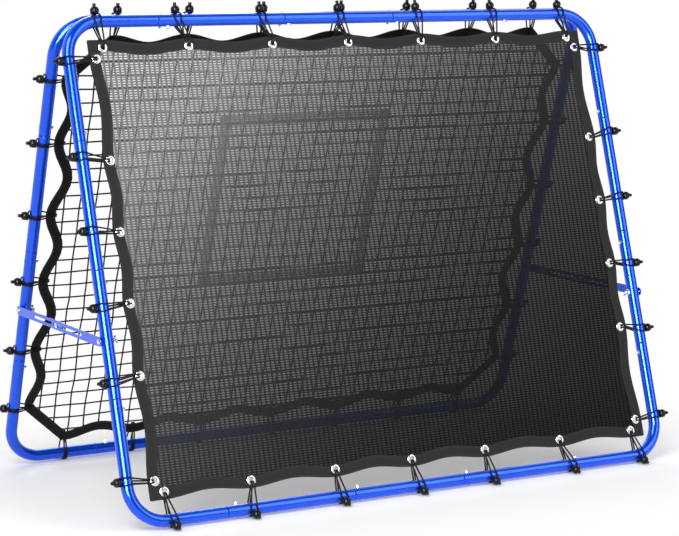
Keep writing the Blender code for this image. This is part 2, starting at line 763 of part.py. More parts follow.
LOWER_LEGS = {}
for which in (FRONT, BACK):
    LOWER_LEGS[which] = frame_tubes(which)
    for hand in (LEFT, RIGHT):
        hinge_half(which, hand)
    bungees(which, ground)
front_mat()
back_net()
strike_zone()
for hand in (LEFT, RIGHT):
    brace(hand, LOWER_LEGS)
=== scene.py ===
"""Looks of a folding pitch back rebounder, built over its construction model.

The brace bars keep their solids and get their finish here. The tubes, hinges, bolts and nuts, the mesh
mat, the net, the strike zone band and the ball bungees are made afresh as detailed pieces in the same
places. Metres throughout; X runs along the rails, the mat faces -Y, and Z is up.
"""

from __future__ import annotations

import json
import logging
import math
from collections.abc import Callable, Iterable, Sequence
from dataclasses import dataclass
from enum import Enum
from typing import Any

import bmesh
import bpy
from mathutils import Matrix, Vector, noise

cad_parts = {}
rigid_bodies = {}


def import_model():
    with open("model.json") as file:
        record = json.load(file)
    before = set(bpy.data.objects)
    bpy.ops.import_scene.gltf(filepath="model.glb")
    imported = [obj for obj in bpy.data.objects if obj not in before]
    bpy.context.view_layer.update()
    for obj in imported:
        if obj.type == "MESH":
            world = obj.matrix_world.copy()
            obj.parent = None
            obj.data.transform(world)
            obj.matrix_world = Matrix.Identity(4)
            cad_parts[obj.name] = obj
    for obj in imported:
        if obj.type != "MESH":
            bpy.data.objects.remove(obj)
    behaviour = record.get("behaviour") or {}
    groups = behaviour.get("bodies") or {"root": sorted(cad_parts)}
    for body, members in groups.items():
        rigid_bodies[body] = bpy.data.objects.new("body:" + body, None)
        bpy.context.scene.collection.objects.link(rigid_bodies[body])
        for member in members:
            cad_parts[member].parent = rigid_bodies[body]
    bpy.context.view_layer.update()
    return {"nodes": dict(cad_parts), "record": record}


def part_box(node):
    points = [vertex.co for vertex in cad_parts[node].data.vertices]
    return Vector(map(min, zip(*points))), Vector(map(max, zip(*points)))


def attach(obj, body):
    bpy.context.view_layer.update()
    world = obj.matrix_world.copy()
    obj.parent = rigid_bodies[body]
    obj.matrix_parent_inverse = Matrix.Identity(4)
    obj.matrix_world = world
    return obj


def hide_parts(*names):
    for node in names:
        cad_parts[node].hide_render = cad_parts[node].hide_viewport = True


LOG = logging.getLogger("rebounder")

Point2 = tuple[float, float]
Point3 = tuple[float, float, float]
Route = list[Vector]

FLAT_MAP = "flat"
SIDES = ((-1, "left"), (1, "right"))
WELD = 1e-6
NOISE_SEED = 7


# ---- shader helpers ------------------------------------------------------------------------------


class Value:
    """One number socket of a material; arithmetic on it adds Math nodes."""

    def __init__(self, shader: Shader, socket: bpy.types.NodeSocket) -> None:
        """Keeps the socket and the shader that it belongs to."""
        self.shader = shader
        self.socket = socket

    def math(self, operation: str, *others: Value | float) -> Value:
        """Adds one Math node whose first input is this value.

        Args:
            operation: the node's operation.
            others: its other inputs, values or plain numbers.

        Returns:
            The node's result.
        """
        return self.shader.math(operation, self, *others)

    def __add__(self, other: Value | float) -> Value:
        """Returns self + other."""
        return self.math("ADD", other)

    def __sub__(self, other: Value | float) -> Value:
        """Returns self - other."""
        return self.math("SUBTRACT", other)

    def __rsub__(self, other: float) -> Value:
        """Returns other - self."""
        return self.shader.math("SUBTRACT", other, self)

    def __mul__(self, other: Value | float) -> Value:
        """Returns self * other."""
        return self.math("MULTIPLY", other)

    def __truediv__(self, other: Value | float) -> Value:
        """Returns self / other."""
        return self.math("DIVIDE", other)

    def __abs__(self) -> Value:
        """Returns the size of the value without its sign."""
        return self.math("ABSOLUTE")

    def sine(self) -> Value:
        """Returns the sine of the value, in radians."""
        return self.math("SINE")

    def fract(self) -> Value:
        """Returns what lies past the last whole number."""
        return self.math("FRACT")

    def exp(self) -> Value:
        """Returns e to the power of the value."""
        return self.math("EXPONENT")

    def clamp(self) -> Value:
        """Returns the value held between 0 and 1."""
        return self.math("MAXIMUM", 0.0).math("MINIMUM", 1.0)

    def step(self, low: float, high: float) -> Value:
        """Returns a smooth rise from 0 at low to 1 at high; low may be the larger."""
        return ((self - low) / (high - low)).clamp()


class Shader:
    """A node material on one Principled BSDF, with short calls for the nodes that feed it."""

    def __init__(self, name: str, colour: Sequence[float], **sockets: float) -> None:
        """Makes the material.

        Args:
            name: the material's name.
            colour: plain base colour, linear red, green and blue.
            sockets: values of other sockets, with underscores for the spaces in their names.
        """
        self.material = bpy.data.materials.new(name)
        self.material.use_nodes = True
        self.tree = self.material.node_tree
        self.bsdf = self.tree.nodes["Principled BSDF"]
        self.bsdf.inputs["Base Color"].default_value = (*colour, 1.0)
        for socket, value in sockets.items():
            self.bsdf.inputs[socket.replace("_", " ")].default_value = value

    def node(self, kind: str, settings: dict[str, Any], inputs: dict[int | str, Any]) -> bpy.types.Node:
        """Adds a node.

        Args:
            kind: the node's type.
            settings: its own properties, which are set first.
            inputs: values or links of its sockets, by name or number.

        Returns:
            The new node.
        """
        made = self.tree.nodes.new(kind)
        for setting, value in settings.items():
            setattr(made, setting, value)
        for socket, value in inputs.items():
            self.feed(made.inputs[socket], value)
        return made

    def feed(self, socket: bpy.types.NodeSocket, value: Any) -> None:
        """Links or sets a socket, whichever the value calls for.

        Args:
            socket: what is fed.
            value: a value or a socket to link, or a plain number or colour to set.
        """
        if isinstance(value, Value):
            self.tree.links.new(value.socket, socket)
        elif isinstance(value, bpy.types.NodeSocket):
            self.tree.links.new(value, socket)
        else:
            socket.default_value = value

    def math(self, operation: str, *inputs: Value | float) -> Value:
        """Adds a Math node and returns its result."""
        made = self.node("ShaderNodeMath", {"operation": operation}, dict(enumerate(inputs)))
        return Value(self, made.outputs[0])

    def place(self) -> bpy.types.NodeSocket:
        """Returns the coordinates of the piece, in metres."""
        return self.node("ShaderNodeTexCoord", {}, {}).outputs["Object"]

    def flat(self) -> tuple[Value, Value]:
        """Returns the two coordinates of the piece's own flat map, in metres."""
        chart = self.node("ShaderNodeUVMap", {"uv_map": FLAT_MAP}, {}).outputs["UV"]
        split = self.node("ShaderNodeSeparateXYZ", {}, {0: chart})
        return Value(self, split.outputs[0]), Value(self, split.outputs[1])

    def noise(self, scale: float, detail: float = 2.0) -> Value:
        """Adds noise on the piece's coordinates.

        Args:
            scale: how many features there are in a metre.
            detail: how many finer layers it has.

        Returns:
            The noise, about 0.5 on average.
        """
        made = self.node(
            "ShaderNodeTexNoise",
            {"noise_dimensions": "3D"},
            {"Vector": self.place(), "Scale": scale, "Detail": detail},
        )
        return Value(self, made.outputs[0])

    def blend(
        self, share: Value, first: Sequence[float] | bpy.types.NodeSocket, second: Sequence[float],
    ) -> bpy.types.NodeSocket:
        """Blends two colours.

        Args:
            share: 0 for the first colour and 1 for the second.
            first: the first colour, plain or from another node.
            second: the second colour.

        Returns:
            The blended colour.
        """
        start = first if isinstance(first, bpy.types.NodeSocket) else (*first, 1.0)
        made = self.node("ShaderNodeMix", {"data_type": "RGBA"}, {0: share, 6: start, 7: (*second, 1.0)})
        return made.outputs[2]

    def set(self, socket: str, value: Any) -> None:
        """Feeds one socket of the Principled BSDF."""
        self.feed(self.bsdf.inputs[socket], value)

    def bump(self, height: Value, distance: float, strength: float = 1.0) -> None:
        """Bumps the surface.

        Args:
            height: the relief, from 0 to 1.
            distance: how deep the relief is, in metres.
            strength: how much of it shows.
        """
        inputs = {"Height": height, "Distance": distance, "Strength": strength}
        self.set("Normal", self.node("ShaderNodeBump", {}, inputs).outputs[0])


# ---- finishes ------------------------------------------------------------------------------------


@dataclass(frozen=True)
class Paint:
    """Glossy powder coat on the frame's steel."""

    name: str = "blue_powder_coat"
    colour: Point3 = (0.004, 0.098, 0.88)
    shade: Point3 = (0.003, 0.088, 0.82)
    metallic: float = 0.60
    roughness: float = 0.19

    def build(self) -> bpy.types.Material:
        """Returns the material, with the faint orange peel of powder coat."""
        shader = Shader(
            self.name, self.colour, Metallic=self.metallic, Specular_IOR_Level=0.08,
            Coat_Weight=0.75, Coat_Roughness=0.06,
        )
        drift = shader.noise(9.0)
        shader.set("Base Color", shader.blend(drift.step(0.3, 0.7), self.shade, self.colour))
        shader.set("Roughness", shader.noise(60.0) * 0.1 + (self.roughness - 0.05))
        shader.bump(shader.noise(500.0), 0.00004, 0.12)
        return shader.material


@dataclass(frozen=True)
class Zinc:
    """Bright zinc plate of bolts, nuts and eyelets."""

    name: str = "bright_zinc"
    colour: Point3 = (0.86, 0.87, 0.89)
    roughness: float = 0.24

    def build(self) -> bpy.types.Material:
        """Returns the material, with the slight mottling of plating."""
        shader = Shader(self.name, self.colour, Metallic=1.0)
        patches = shader.noise(160.0)
        duller = tuple(0.86 * part for part in self.colour)
        shader.set("Base Color", shader.blend(patches.step(0.35, 0.65), duller, self.colour))
        shader.set("Roughness", patches * 0.16 + (self.roughness - 0.08))
        shader.bump(shader.noise(1500.0), 0.00003, 0.3)
        return shader.material


@dataclass(frozen=True)
class MeshCloth:
    """Open mesh of the mat: upright columns of short slots between plain ribs.

    It lets more through towards its upper left corner, and its threads' colour is lightened towards that
    corner as a painted sheen.
    """

    name: str = "black_mesh_cloth"
    thread: Point3 = (0.003, 0.003, 0.0033)
    # the threads' colour where the painted sheen is fullest
    painted_sheen: Point3 = (0.160, 0.160, 0.162)
    column_pitch: float = 0.013
    slot_pitch: float = 0.0060
    slot_open: float = 0.82
    rib_open: float = 0.015
    open_from: Point2 = (-0.69, 1.05)
    open_fall: Point2 = (1.35, 1.80)
    # where the painted sheen is fullest, and how fast it fades rightwards and downwards
    painted_sheen_from: Point2 = (-0.42, 1.0)
    painted_sheen_fall: Point2 = (2.3, 2.8)

    @staticmethod
    def fade(across: Value, up: Value, start: Point2, fall: Point2) -> Value:
        """Returns a share that fades from 1 at a point of the mat, rightwards and downwards."""
        return ((up - start[1]) * fall[1] - (across - start[0]) * fall[0]).exp().clamp()

    def build(self) -> bpy.types.Material:
        """Returns the material; its slots and ribs let through a share of what is behind them."""
        shader = Shader(self.name, self.thread, Roughness=0.6, Specular_IOR_Level=0.06)
        across, up = shader.flat()
        column = abs((across / self.column_pitch).fract() - 0.5)
        slot = abs((up / self.slot_pitch).fract() - 0.5)
        in_slot = column.step(0.35, 0.27) * slot.step(0.30, 0.16)
        openness = self.fade(across, up, self.open_from, self.open_fall)
        through = (in_slot * (self.slot_open - self.rib_open) + self.rib_open) * openness
        shader.set("Alpha", 1.0 - through)
        # painted sheen: the threads' base colour lightens towards the upper left corner, standing in for
        # light that falls there
        lit = self.fade(across, up, self.painted_sheen_from, self.painted_sheen_fall)
        shader.set("Base Color", shader.blend(lit, self.thread, self.painted_sheen))
        shader.bump(1.0 - in_slot, 0.0006, 0.4)
        return shader.material


@dataclass(frozen=True)
class Seams:
    """A row of stitches near each edge of a tape, on its flat map."""

    width: float
    inset: float
    pitch: float
    thread: float
    soft: float = 0.0002

    def distance(self, across: Value) -> Value:
        """Returns how far a place lies from the nearer row."""
        return abs(abs(across - self.width / 2) - (self.width / 2 - self.inset))

    def sewn(self, along: Value, across: Value) -> Value:
        """Returns 1 on a stitch and 0 beside it."""
        dash = abs((along / self.pitch).fract() - 0.5).step(0.36, 0.28)
        return self.distance(across).step(self.thread + self.soft, self.thread - self.soft) * dash


@dataclass(frozen=True)
class HemCloth:
    """Plain woven tape that binds the mat, with a row of stitches near each edge."""

    name: str = "hem_tape"
    colour: Point3 = (0.023, 0.023, 0.024)
    stitch: Point3 = (0.044, 0.044, 0.046)
    seams: Seams = Seams(0.028, 0.0035, 0.0046, 0.0006)
    pick: float = 0.0011

    def build(self) -> bpy.types.Material:
        """Returns the material; its flat map runs along the tape and across it."""
        shader = Shader(self.name, self.colour, Roughness=0.78, Specular_IOR_Level=0.15)
        along, across = shader.flat()
        sewn = self.seams.sewn(along, across)
        turn = math.tau / self.pick
        weave = (along * turn).sine() * (across * turn).sine()
        mottled = shader.noise(40.0).step(0.2, 0.8) * 0.35
        plain = shader.blend(mottled, self.colour, [0.75 * part for part in self.colour])
        shader.set("Base Color", shader.blend(sewn, plain, self.stitch))
        sunk = self.seams.distance(across).step(0.0022, 0.0006) * 0.6
        shader.bump(weave * 0.12 + (1.0 - sunk) + sewn * 0.5, 0.0005, 0.6)
        return shader.material


@dataclass(frozen=True)
class Webbing:
    """Flat woven webbing with stitched edges."""

    name: str
    colour: Point3
    stitch: Point3
    width: float
    roughness: float = 0.62
    cover: float = 1.0
    rib: float = 0.0021
    seam_inset: float = 0.003
    stitch_pitch: float = 0.005
    thread: float = 0.0007

    def build(self) -> bpy.types.Material:
        """Returns the material; its flat map runs along the webbing and across it."""
        shader = Shader(
            self.name, self.colour, Roughness=self.roughness, Specular_IOR_Level=0.15, Alpha=self.cover,
        )
        along, across = shader.flat()
        sewn = Seams(self.width, self.seam_inset, self.stitch_pitch, self.thread).sewn(along, across)
        ribs = (across * (math.tau / self.rib)).sine() * 0.5 + 0.5
        picks = (along * (math.tau / (self.rib * 0.8)) + ribs * 2.0).sine() * 0.5 + 0.5
        # painted shade: the colour falls to 0.6 of itself where the weave's ribs and picks sink
        woven = shader.blend(ribs * picks, [0.6 * part for part in self.colour], self.colour)
        shader.set("Base Color", shader.blend(sewn, woven, self.stitch))
        shader.bump(ribs * 0.5 + picks * 0.3 + sewn * 0.5, 0.0004, 0.6)
        return shader.material


@dataclass(frozen=True)
class Braid:
    """Braided cord: the covered elastic of the bungees, or the net's twine."""

    name: str
    colour: Point3
    # colour of the strands' crests: a painted highlight
    light: Point3
    roughness: float
    pitch: float
    depth: float

    def build(self) -> bpy.types.Material:
        """Returns the material; its flat map runs along the cord and once round it."""
        shader = Shader(self.name, self.colour, Roughness=self.roughness, Specular_IOR_Level=0.15)
        along, around = shader.flat()
        turn = around * math.tau
        lean = along * (math.tau / self.pitch)
        strand = (lean + turn * 2.0).sine() * (lean - turn * 2.0).sine() * 0.5 + 0.5
        # painted shade and highlight: darker in the grooves between strands and lighter on their crests,
        # following the bump
        shader.set("Base Color", shader.blend(strand, self.colour, self.light))
        shader.bump(strand, self.depth, 0.7)
        return shader.material


@dataclass(frozen=True)
class Moulded:
    """Black moulded plastic of the bungee balls."""

    name: str = "moulded_ball"
    colour: Point3 = (0.004, 0.004, 0.0045)
    roughness: float = 0.25

    def build(self) -> bpy.types.Material:
        """Returns the material, with the fine grain of a moulding."""
        shader = Shader(self.name, self.colour, Specular_IOR_Level=0.15, Coat_Weight=0.3, Coat_Roughness=0.1)
        scuffs = shader.noise(220.0)
        lighter = tuple(2.2 * part for part in self.colour)
        shader.set("Base Color", shader.blend(scuffs.step(0.55, 0.75), self.colour, lighter))
        shader.set("Roughness", scuffs * 0.2 + (self.roughness - 0.06))
        shader.bump(shader.noise(900.0), 0.00005, 0.4)
        return shader.material


class Finish(Enum):
    """The object's finishes, each with the record's slot that it belongs to."""

    PAINT = ("paint", Paint())
    ZINC = ("zinc", Zinc())
    MESH = ("mesh", MeshCloth())
    HEM = ("mesh", HemCloth())
    # a braid's second colour is the painted highlight on its strands' crests
    NET = ("net", Braid("net_twine", (0.005, 0.005, 0.006), (0.016, 0.016, 0.017), 0.6, 0.004, 0.0004))
    BORDER = ("net", Webbing("net_border_webbing", (0.012, 0.012, 0.0125), (0.04, 0.04, 0.042), 0.025, 0.5))
    BAND = ("webbing", Webbing("zone_webbing", (0.97, 0.72, 0.32), (0.95, 0.78, 0.46), 0.03, 0.7, 0.38))
    # a braid's second colour is the painted highlight on its strands' crests
    ELASTIC = (
        "elastic", Braid("elastic_cord", (0.005, 0.005, 0.006), (0.018, 0.018, 0.02), 0.45, 0.0032, 0.0003),
    )
    BALL = ("elastic", Moulded())
    KNOT = ("net", Moulded("net_knot", (0.009, 0.009, 0.010), 0.55))


# ---- mesh helpers --------------------------------------------------------------------------------


@dataclass(frozen=True)
class Panel:
    """The plane of one frame: x along the rails, v up the legs from the bottom rail, n out of its face."""

    prefix: str
    body: str
    origin: Vector
    up: Vector
    out: Vector
    height: float
    half_width: float

    @property
    def matrix(self) -> Matrix:
        """The panel's own coordinates to the row's."""
        axes = Matrix((Vector((1, 0, 0)), self.up, self.out)).transposed().to_4x4()
        return Matrix.Translation(self.origin) @ axes

    @classmethod
    def read(cls, prefix: str, facing: int) -> Panel:
        """Finds a frame's plane from its middle rail tubes and its legs.

        Args:
            prefix: front or back.
            facing: the sign of Y on the side that the panel faces.

        Returns:
            The panel.
        """
        bottom = middle_of(f"{prefix}_bottom_rail_middle")
        top = middle_of(f"{prefix}_top_rail_middle")
        bottom.x = top.x = 0.0
        up = (top - bottom).normalized()
        out = Vector((0.0, facing * up.z, -facing * up.y))
        half_width = middle_of(f"{prefix}_right_leg_upper").x
        return cls(prefix, f"{prefix}_frame", bottom, up, out, (top - bottom).length, half_width)


def middle_of(node: str) -> Vector:
    """Returns the middle of a construction node's box."""
    low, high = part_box(node)
    return (Vector(low) + Vector(high)) / 2


def smooth_route(points: Sequence[Vector], cuts: int) -> Route:
    """Runs a smooth line through the points.

    Args:
        points: what the line passes through.
        cuts: how many steps there are from one point to the next.

    Returns:
        The line's points.
    """
    last = len(points) - 1
    line: Route = []
    for number in range(last):
        a, b = points[max(number - 1, 0)], points[number]
        c, d = points[number + 1], points[min(number + 2, last)]
        for cut in range(cuts):
            t = cut / cuts
            ahead = (c - a) * t + (a * 2 - b * 5 + c * 4 - d) * t**2 + (b * 3 - a - c * 3 + d) * t**3
            line.append(b + ahead / 2)
    line.append(points[-1].copy())
    return line


def route_length(route: Sequence[Vector]) -> float:
    """Returns the length of a line through the points."""
    return sum((after - before).length for before, after in zip(route, route[1:]))


def add_cord(
    shape: bmesh.types.BMesh,
    route: Sequence[Vector],
    radius: float,
    sides: int,
    thickness: Sequence[float] | None = None,
) -> None:
    """Adds a round cord or tube to a shape, with a flat map along it in metres and once round it.

    Args:
        shape: what it is added to.
        route: its centreline.
        radius: its radius.
        sides: how many sides it has, an even number from 6.
        thickness: the radius at each point as a share of the full one.
    """
    curve = bpy.data.curves.new("cord", "CURVE")
    curve.dimensions = "3D"
    curve.bevel_depth = radius
    curve.bevel_resolution = (sides - 4) // 2
    curve.use_fill_caps = True
    line = curve.splines.new("POLY")
    line.points.add(len(route) - 1)
    for number, place in enumerate(route):
        line.points[number].co = (*place, 1.0)
        line.points[number].radius = 1.0 if thickness is None else thickness[number]
    mesh = evaluated_mesh(curve)
    chart = mesh.uv_layers[0]
    chart.name = FLAT_MAP
    length = route_length(route)
    for loop in chart.data:
        loop.uv = (loop.uv[1] * length, loop.uv[0])
    first = len(shape.verts)
    shape.from_mesh(mesh)
    bpy.data.meshes.remove(mesh)
    shape.verts.ensure_lookup_table()
    bmesh.ops.remove_doubles(shape, verts=shape.verts[first:], dist=radius / 100)


def evaluated_mesh(curve: bpy.types.Curve) -> bpy.types.Mesh:
    """Turns a curve into a mesh and removes the curve.

    Args:
        curve: the curve.

    Returns:
        Its surface.
    """
    holder = bpy.data.objects.new(curve.name, curve)
    bpy.context.scene.collection.objects.link(holder)
    graph = bpy.context.evaluated_depsgraph_get()
    mesh = bpy.data.meshes.new_from_object(holder.evaluated_get(graph))
    bpy.data.objects.remove(holder)
    bpy.data.curves.remove(curve)
    return mesh


def add_turned(
    shape: bmesh.types.BMesh,
    profile: Sequence[Point2],
    matrix: Matrix,
    steps: int,
    closed: bool = False,
) -> None:
    """Adds a shape turned about Z to another one.

    Args:
        shape: what it is added to.
        profile: (radius, height) from one end to the other.
        matrix: where the turned shape goes.
        steps: how many steps the turn has.
        closed: whether the profile closes on itself, as a ring's does.
    """
    points = [shape.verts.new((radius, 0.0, height)) for radius, height in profile]
    ends = points[1:] + points[:1] if closed else points[1:]
    edges = [shape.edges.new(pair) for pair in zip(points, ends)]
    bmesh.ops.spin(
        shape, geom=[*points, *edges], cent=(0, 0, 0), axis=(0, 0, 1),
        angle=math.tau, steps=steps, use_merge=True,
    )
    found = joined_to(points)
    bmesh.ops.remove_doubles(shape, verts=found, dist=WELD)
    bmesh.ops.transform(shape, matrix=matrix, verts=[vert for vert in found if vert.is_valid])


def disc(radius: float, height: float) -> list[Point2]:
    """Returns the profile of a flat disc that stands on its place."""
    return [(0.0, 0.0), (radius, 0.0), (radius, height), (0.0, height)]


def joined_to(verts: Iterable[bmesh.types.BMVert]) -> list[bmesh.types.BMVert]:
    """Follows edges from vertices to all that hang together with them.

    Args:
        verts: where to start.

    Returns:
        The vertices, the given ones included.
    """
    found = set(verts)
    waiting = list(found)
    while waiting:
        vert = waiting.pop()
        beyond = {edge.other_vert(vert) for edge in vert.link_edges} - found
        found |= beyond
        waiting += beyond
    return list(found)


def toward(place: Vector, axis: Vector) -> Matrix:
    """Returns the matrix that puts Z along an axis and the origin at a place."""
    return Matrix.Translation(place) @ axis.to_track_quat("Z", "Y").to_matrix().to_4x4()


@dataclass
class Maker:
    """Turns finished shapes into pieces, with one material for each finish."""

    built: dict[Finish, bpy.types.Material]

    def material(self, finish: Finish) -> bpy.types.Material:
        """Finds the finish's material, built on first use.

        Args:
            finish: the finish.

        Returns:
            The material.
        """
        if finish not in self.built:
            self.built[finish] = finish.value[1].build()
        return self.built[finish]

    def piece(
        self,
        name: str,
        shape: bmesh.types.BMesh,
        body: str,
        finishes: Finish | Sequence[Finish],
        place: Matrix | None = None,
        angle: float = 40.0,
        replaced: Iterable[str] = (),
        open_surface: bool = False,
    ) -> bpy.types.Object:
        """Makes a piece that rides on a body.

        Args:
            name: the piece's name.
            shape: its shape in its own coordinates; it is freed.
            body: the body that carries it.
            finishes: its finish, or one for each material number.
            place: where its coordinates are in the row frame.
            angle: edges sharper than this stay sharp, in degrees.
            replaced: the construction nodes that it stands for.
            open_surface: whether it is a single surface, which has no outside to turn its faces to.

        Returns:
            The piece.
        """
        several = [finishes] if isinstance(finishes, Finish) else list(finishes)
        matrix = Matrix.Identity(4) if place is None else place
        bmesh.ops.transform(shape, matrix=matrix, verts=shape.verts)
        if not open_surface:
            bmesh.ops.recalc_face_normals(shape, faces=shape.faces)
        elif matrix.determinant() < 0:
            bmesh.ops.reverse_faces(shape, faces=shape.faces)
        mesh = bpy.data.meshes.new(name)
        shape.to_mesh(mesh)
        shape.free()
        for finish in several:
            mesh.materials.append(self.material(finish))
        mesh.shade_smooth()
        mesh.set_sharp_from_angle(angle=math.radians(angle))
        made = bpy.data.objects.new(name, mesh)
        bpy.context.scene.collection.objects.link(made)
        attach(made, body)
        names = list(replaced)
        if names:
            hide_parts(*names)
        return made

    def dress(self, node: bpy.types.Object, finish: Finish) -> None:
        """Gives a construction solid its finish."""
        node.data.materials.clear()
        node.data.materials.append(self.material(finish))


# ---- the tube frames -----------------------------------------------------------------------------


@dataclass
class TubeFrame:
    """The fourteen round tubes of one frame, each with softly turned ends where it meets the next."""

    panel: Panel
    radius: float = 0.015
    bend_radius: float = 0.088
    rail_seams: tuple[float, ...] = (-0.519, -0.173, 0.141, 0.459)
    leg_seams: tuple[float, ...] = (0.291, 0.593, 0.901)
    seam_gap: float = 0.0006
    end_round: float = 0.0011
    ring_share: float = 0.3
    sides: int = 32
    bend_steps: int = 20

    def tube(self, node: str, route: Sequence[Point2], maker: Maker) -> None:
        """Makes one tube.

        Args:
            node: the construction tube that it stands for.
            route: its centreline in the panel, from seam to seam.
            maker: what makes the piece.
        """
        points = [Vector((x, v, 0.0)) for x, v in route]
        start, end = (points[1] - points[0]).normalized(), (points[-1] - points[-2]).normalized()
        points[0] += start * self.seam_gap / 2
        points[-1] -= end * self.seam_gap / 2
        drawn_in = self.end_round / self.radius
        shares = [1.0 - drawn_in, 1.0 - self.ring_share * drawn_in, 1.0, 1.0]
        steps = [0.0, self.ring_share * self.end_round, self.end_round, 2.0 * self.end_round]
        opening = [points[0] + start * step for step in steps]
        closing = [points[-1] - end * step for step in reversed(steps)]
        line = [*opening, *points[1:-1], *closing]
        thickness = [*shares, *[1.0] * (len(points) - 2), *reversed(shares)]
        shape = bmesh.new()
        add_cord(shape, line, self.radius, self.sides, thickness)
        maker.piece(f"{node}_tube", shape, self.panel.body, Finish.PAINT, self.panel.matrix, replaced=[node])

    def bend(self, side: int, top: bool) -> list[Point2]:
        """Finds the centreline of a corner tube.

        Args:
            side: the sign of X on its side.
            top: whether it is at the top.

        Returns:
            Its points, from its rail seam round to its leg seam.
        """
        rail, way = (self.panel.height, -1) if top else (0.0, 1)
        leg = side * self.panel.half_width
        centre = (leg - side * self.bend_radius, rail + way * self.bend_radius)
        seam = self.rail_seams[0] if side < 0 else self.rail_seams[-1]
        corner = []
        for step in range(self.bend_steps + 1):
            turn = math.pi / 2 * step / self.bend_steps
            across, along = math.sin(turn), math.cos(turn)
            corner.append((
                centre[0] + side * self.bend_radius * across,
                centre[1] - way * self.bend_radius * along,
            ))
        return [(seam, rail), *corner, (leg, self.leg_seams[-1] if top else self.leg_seams[0])]

    def build(self, maker: Maker) -> None:
        """Makes the fourteen tubes.

        Args:
            maker: what makes the piece.
        """
        prefix = self.panel.prefix
        for level, height in (("bottom", 0.0), ("top", self.panel.height)):
            for number, part in enumerate(("left", "middle", "right")):
                ends = self.rail_seams[number:number + 2]
                self.tube(f"{prefix}_{level}_rail_{part}", [(x, height) for x in ends], maker)
            for side, name in SIDES:
                self.tube(f"{prefix}_{level}_{name}_bend", self.bend(side, level == "top"), maker)
        for side, name in SIDES:
            leg = side * self.panel.half_width
            for part, ends in (("lower", self.leg_seams[:2]), ("upper", self.leg_seams[1:])):
                self.tube(f"{prefix}_{name}_leg_{part}", [(leg, v) for v in ends], maker)
        LOG.info("%s frame: fourteen tubes", prefix)


@dataclass
class JointBolts:
    """The short bolts that lock the swaged joints, each across a tube in the plane of the frame."""

    panel: Panel
    tube_radius: float = 0.015
    rail_places: tuple[float, ...] = (-0.490, -0.158, 0.158, 0.490)
    leg_places: tuple[float, ...] = (0.267, 0.563, 0.9205)
    head_radius: float = 0.0042
    head_height: float = 0.0012
    nut_radius: float = 0.0046
    nut_height: float = 0.0038
    washer_radius: float = 0.0054
    washer_height: float = 0.0012
    shank_radius: float = 0.0022
    past_nut: float = 0.0026
    sunk: float = 0.0006
    chamfer: float = 0.0006

    def add(self, shape: bmesh.types.BMesh, place: Vector, outwards: Vector) -> None:
        """Adds one bolt across a tube.

        Args:
            shape: what it is added to.
            place: the middle of the tube there.
            outwards: the direction to its domed head.
        """
        base = self.tube_radius - self.sunk
        high = self.head_radius
        head = [(0.0, self.head_height + self.sunk), (high * 0.45, self.head_height + self.sunk / 2)]
        head += [(high * 0.8, self.head_height * 0.75), (high, self.head_height * 0.25)]
        head += [(high, 0.0), (0.0, 0.0)]
        first = len(shape.faces)
        add_turned(shape, head, toward(place + outwards * base, outwards), 16)
        shape.faces.ensure_lookup_table()
        for face in shape.faces[first:]:
            face.material_index = 1
        inner = toward(place - outwards * base, -outwards)
        add_turned(shape, disc(self.washer_radius, self.washer_height), inner, 18)
        nut = bmesh.ops.create_cone(
            shape, cap_ends=True, segments=6, radius1=self.nut_radius, radius2=self.nut_radius,
            depth=self.nut_height,
            matrix=inner @ Matrix.Translation((0, 0, self.washer_height + self.nut_height / 2)),
        )["verts"]
        rims = {edge for vert in nut for edge in vert.link_edges if all(end in nut for end in edge.verts)}
        caps = [edge for edge in rims if any(len(face.verts) == 6 for face in edge.link_faces)]
        bmesh.ops.bevel(
            shape, geom=caps, offset=self.chamfer, affect="EDGES", segments=1, profile=0.5, material=-1,
        )
        tip = self.washer_height + self.nut_height + self.past_nut
        shank = [(0.0, tip), (self.shank_radius * 0.8, tip), (self.shank_radius, tip - self.chamfer)]
        shank += [(self.shank_radius, 0.0), (0.0, 0.0)]
        add_turned(shape, shank, inner, 12)

    def build(self, maker: Maker) -> None:
        """Makes the frame's bolts as one piece.

        Args:
            maker: what makes the piece.
        """
        shape = bmesh.new()
        for x in self.rail_places:
            self.add(shape, Vector((x, 0.0, 0.0)), Vector((0, -1, 0)))
            self.add(shape, Vector((x, self.panel.height, 0.0)), Vector((0, 1, 0)))
        for side, _ in SIDES:
            for v in self.leg_places:
                self.add(shape, Vector((side * self.panel.half_width, v, 0.0)), Vector((side, 0, 0)))
        name = f"{self.panel.prefix}_joint_bolts"
        finishes = (Finish.ZINC, Finish.PAINT)
        maker.piece(name, shape, self.panel.body, finishes, self.panel.matrix, angle=30)
        LOG.info("%s: fourteen bolts", name)


# ---- edges of the mat and the net ----------------------------------------------------------------


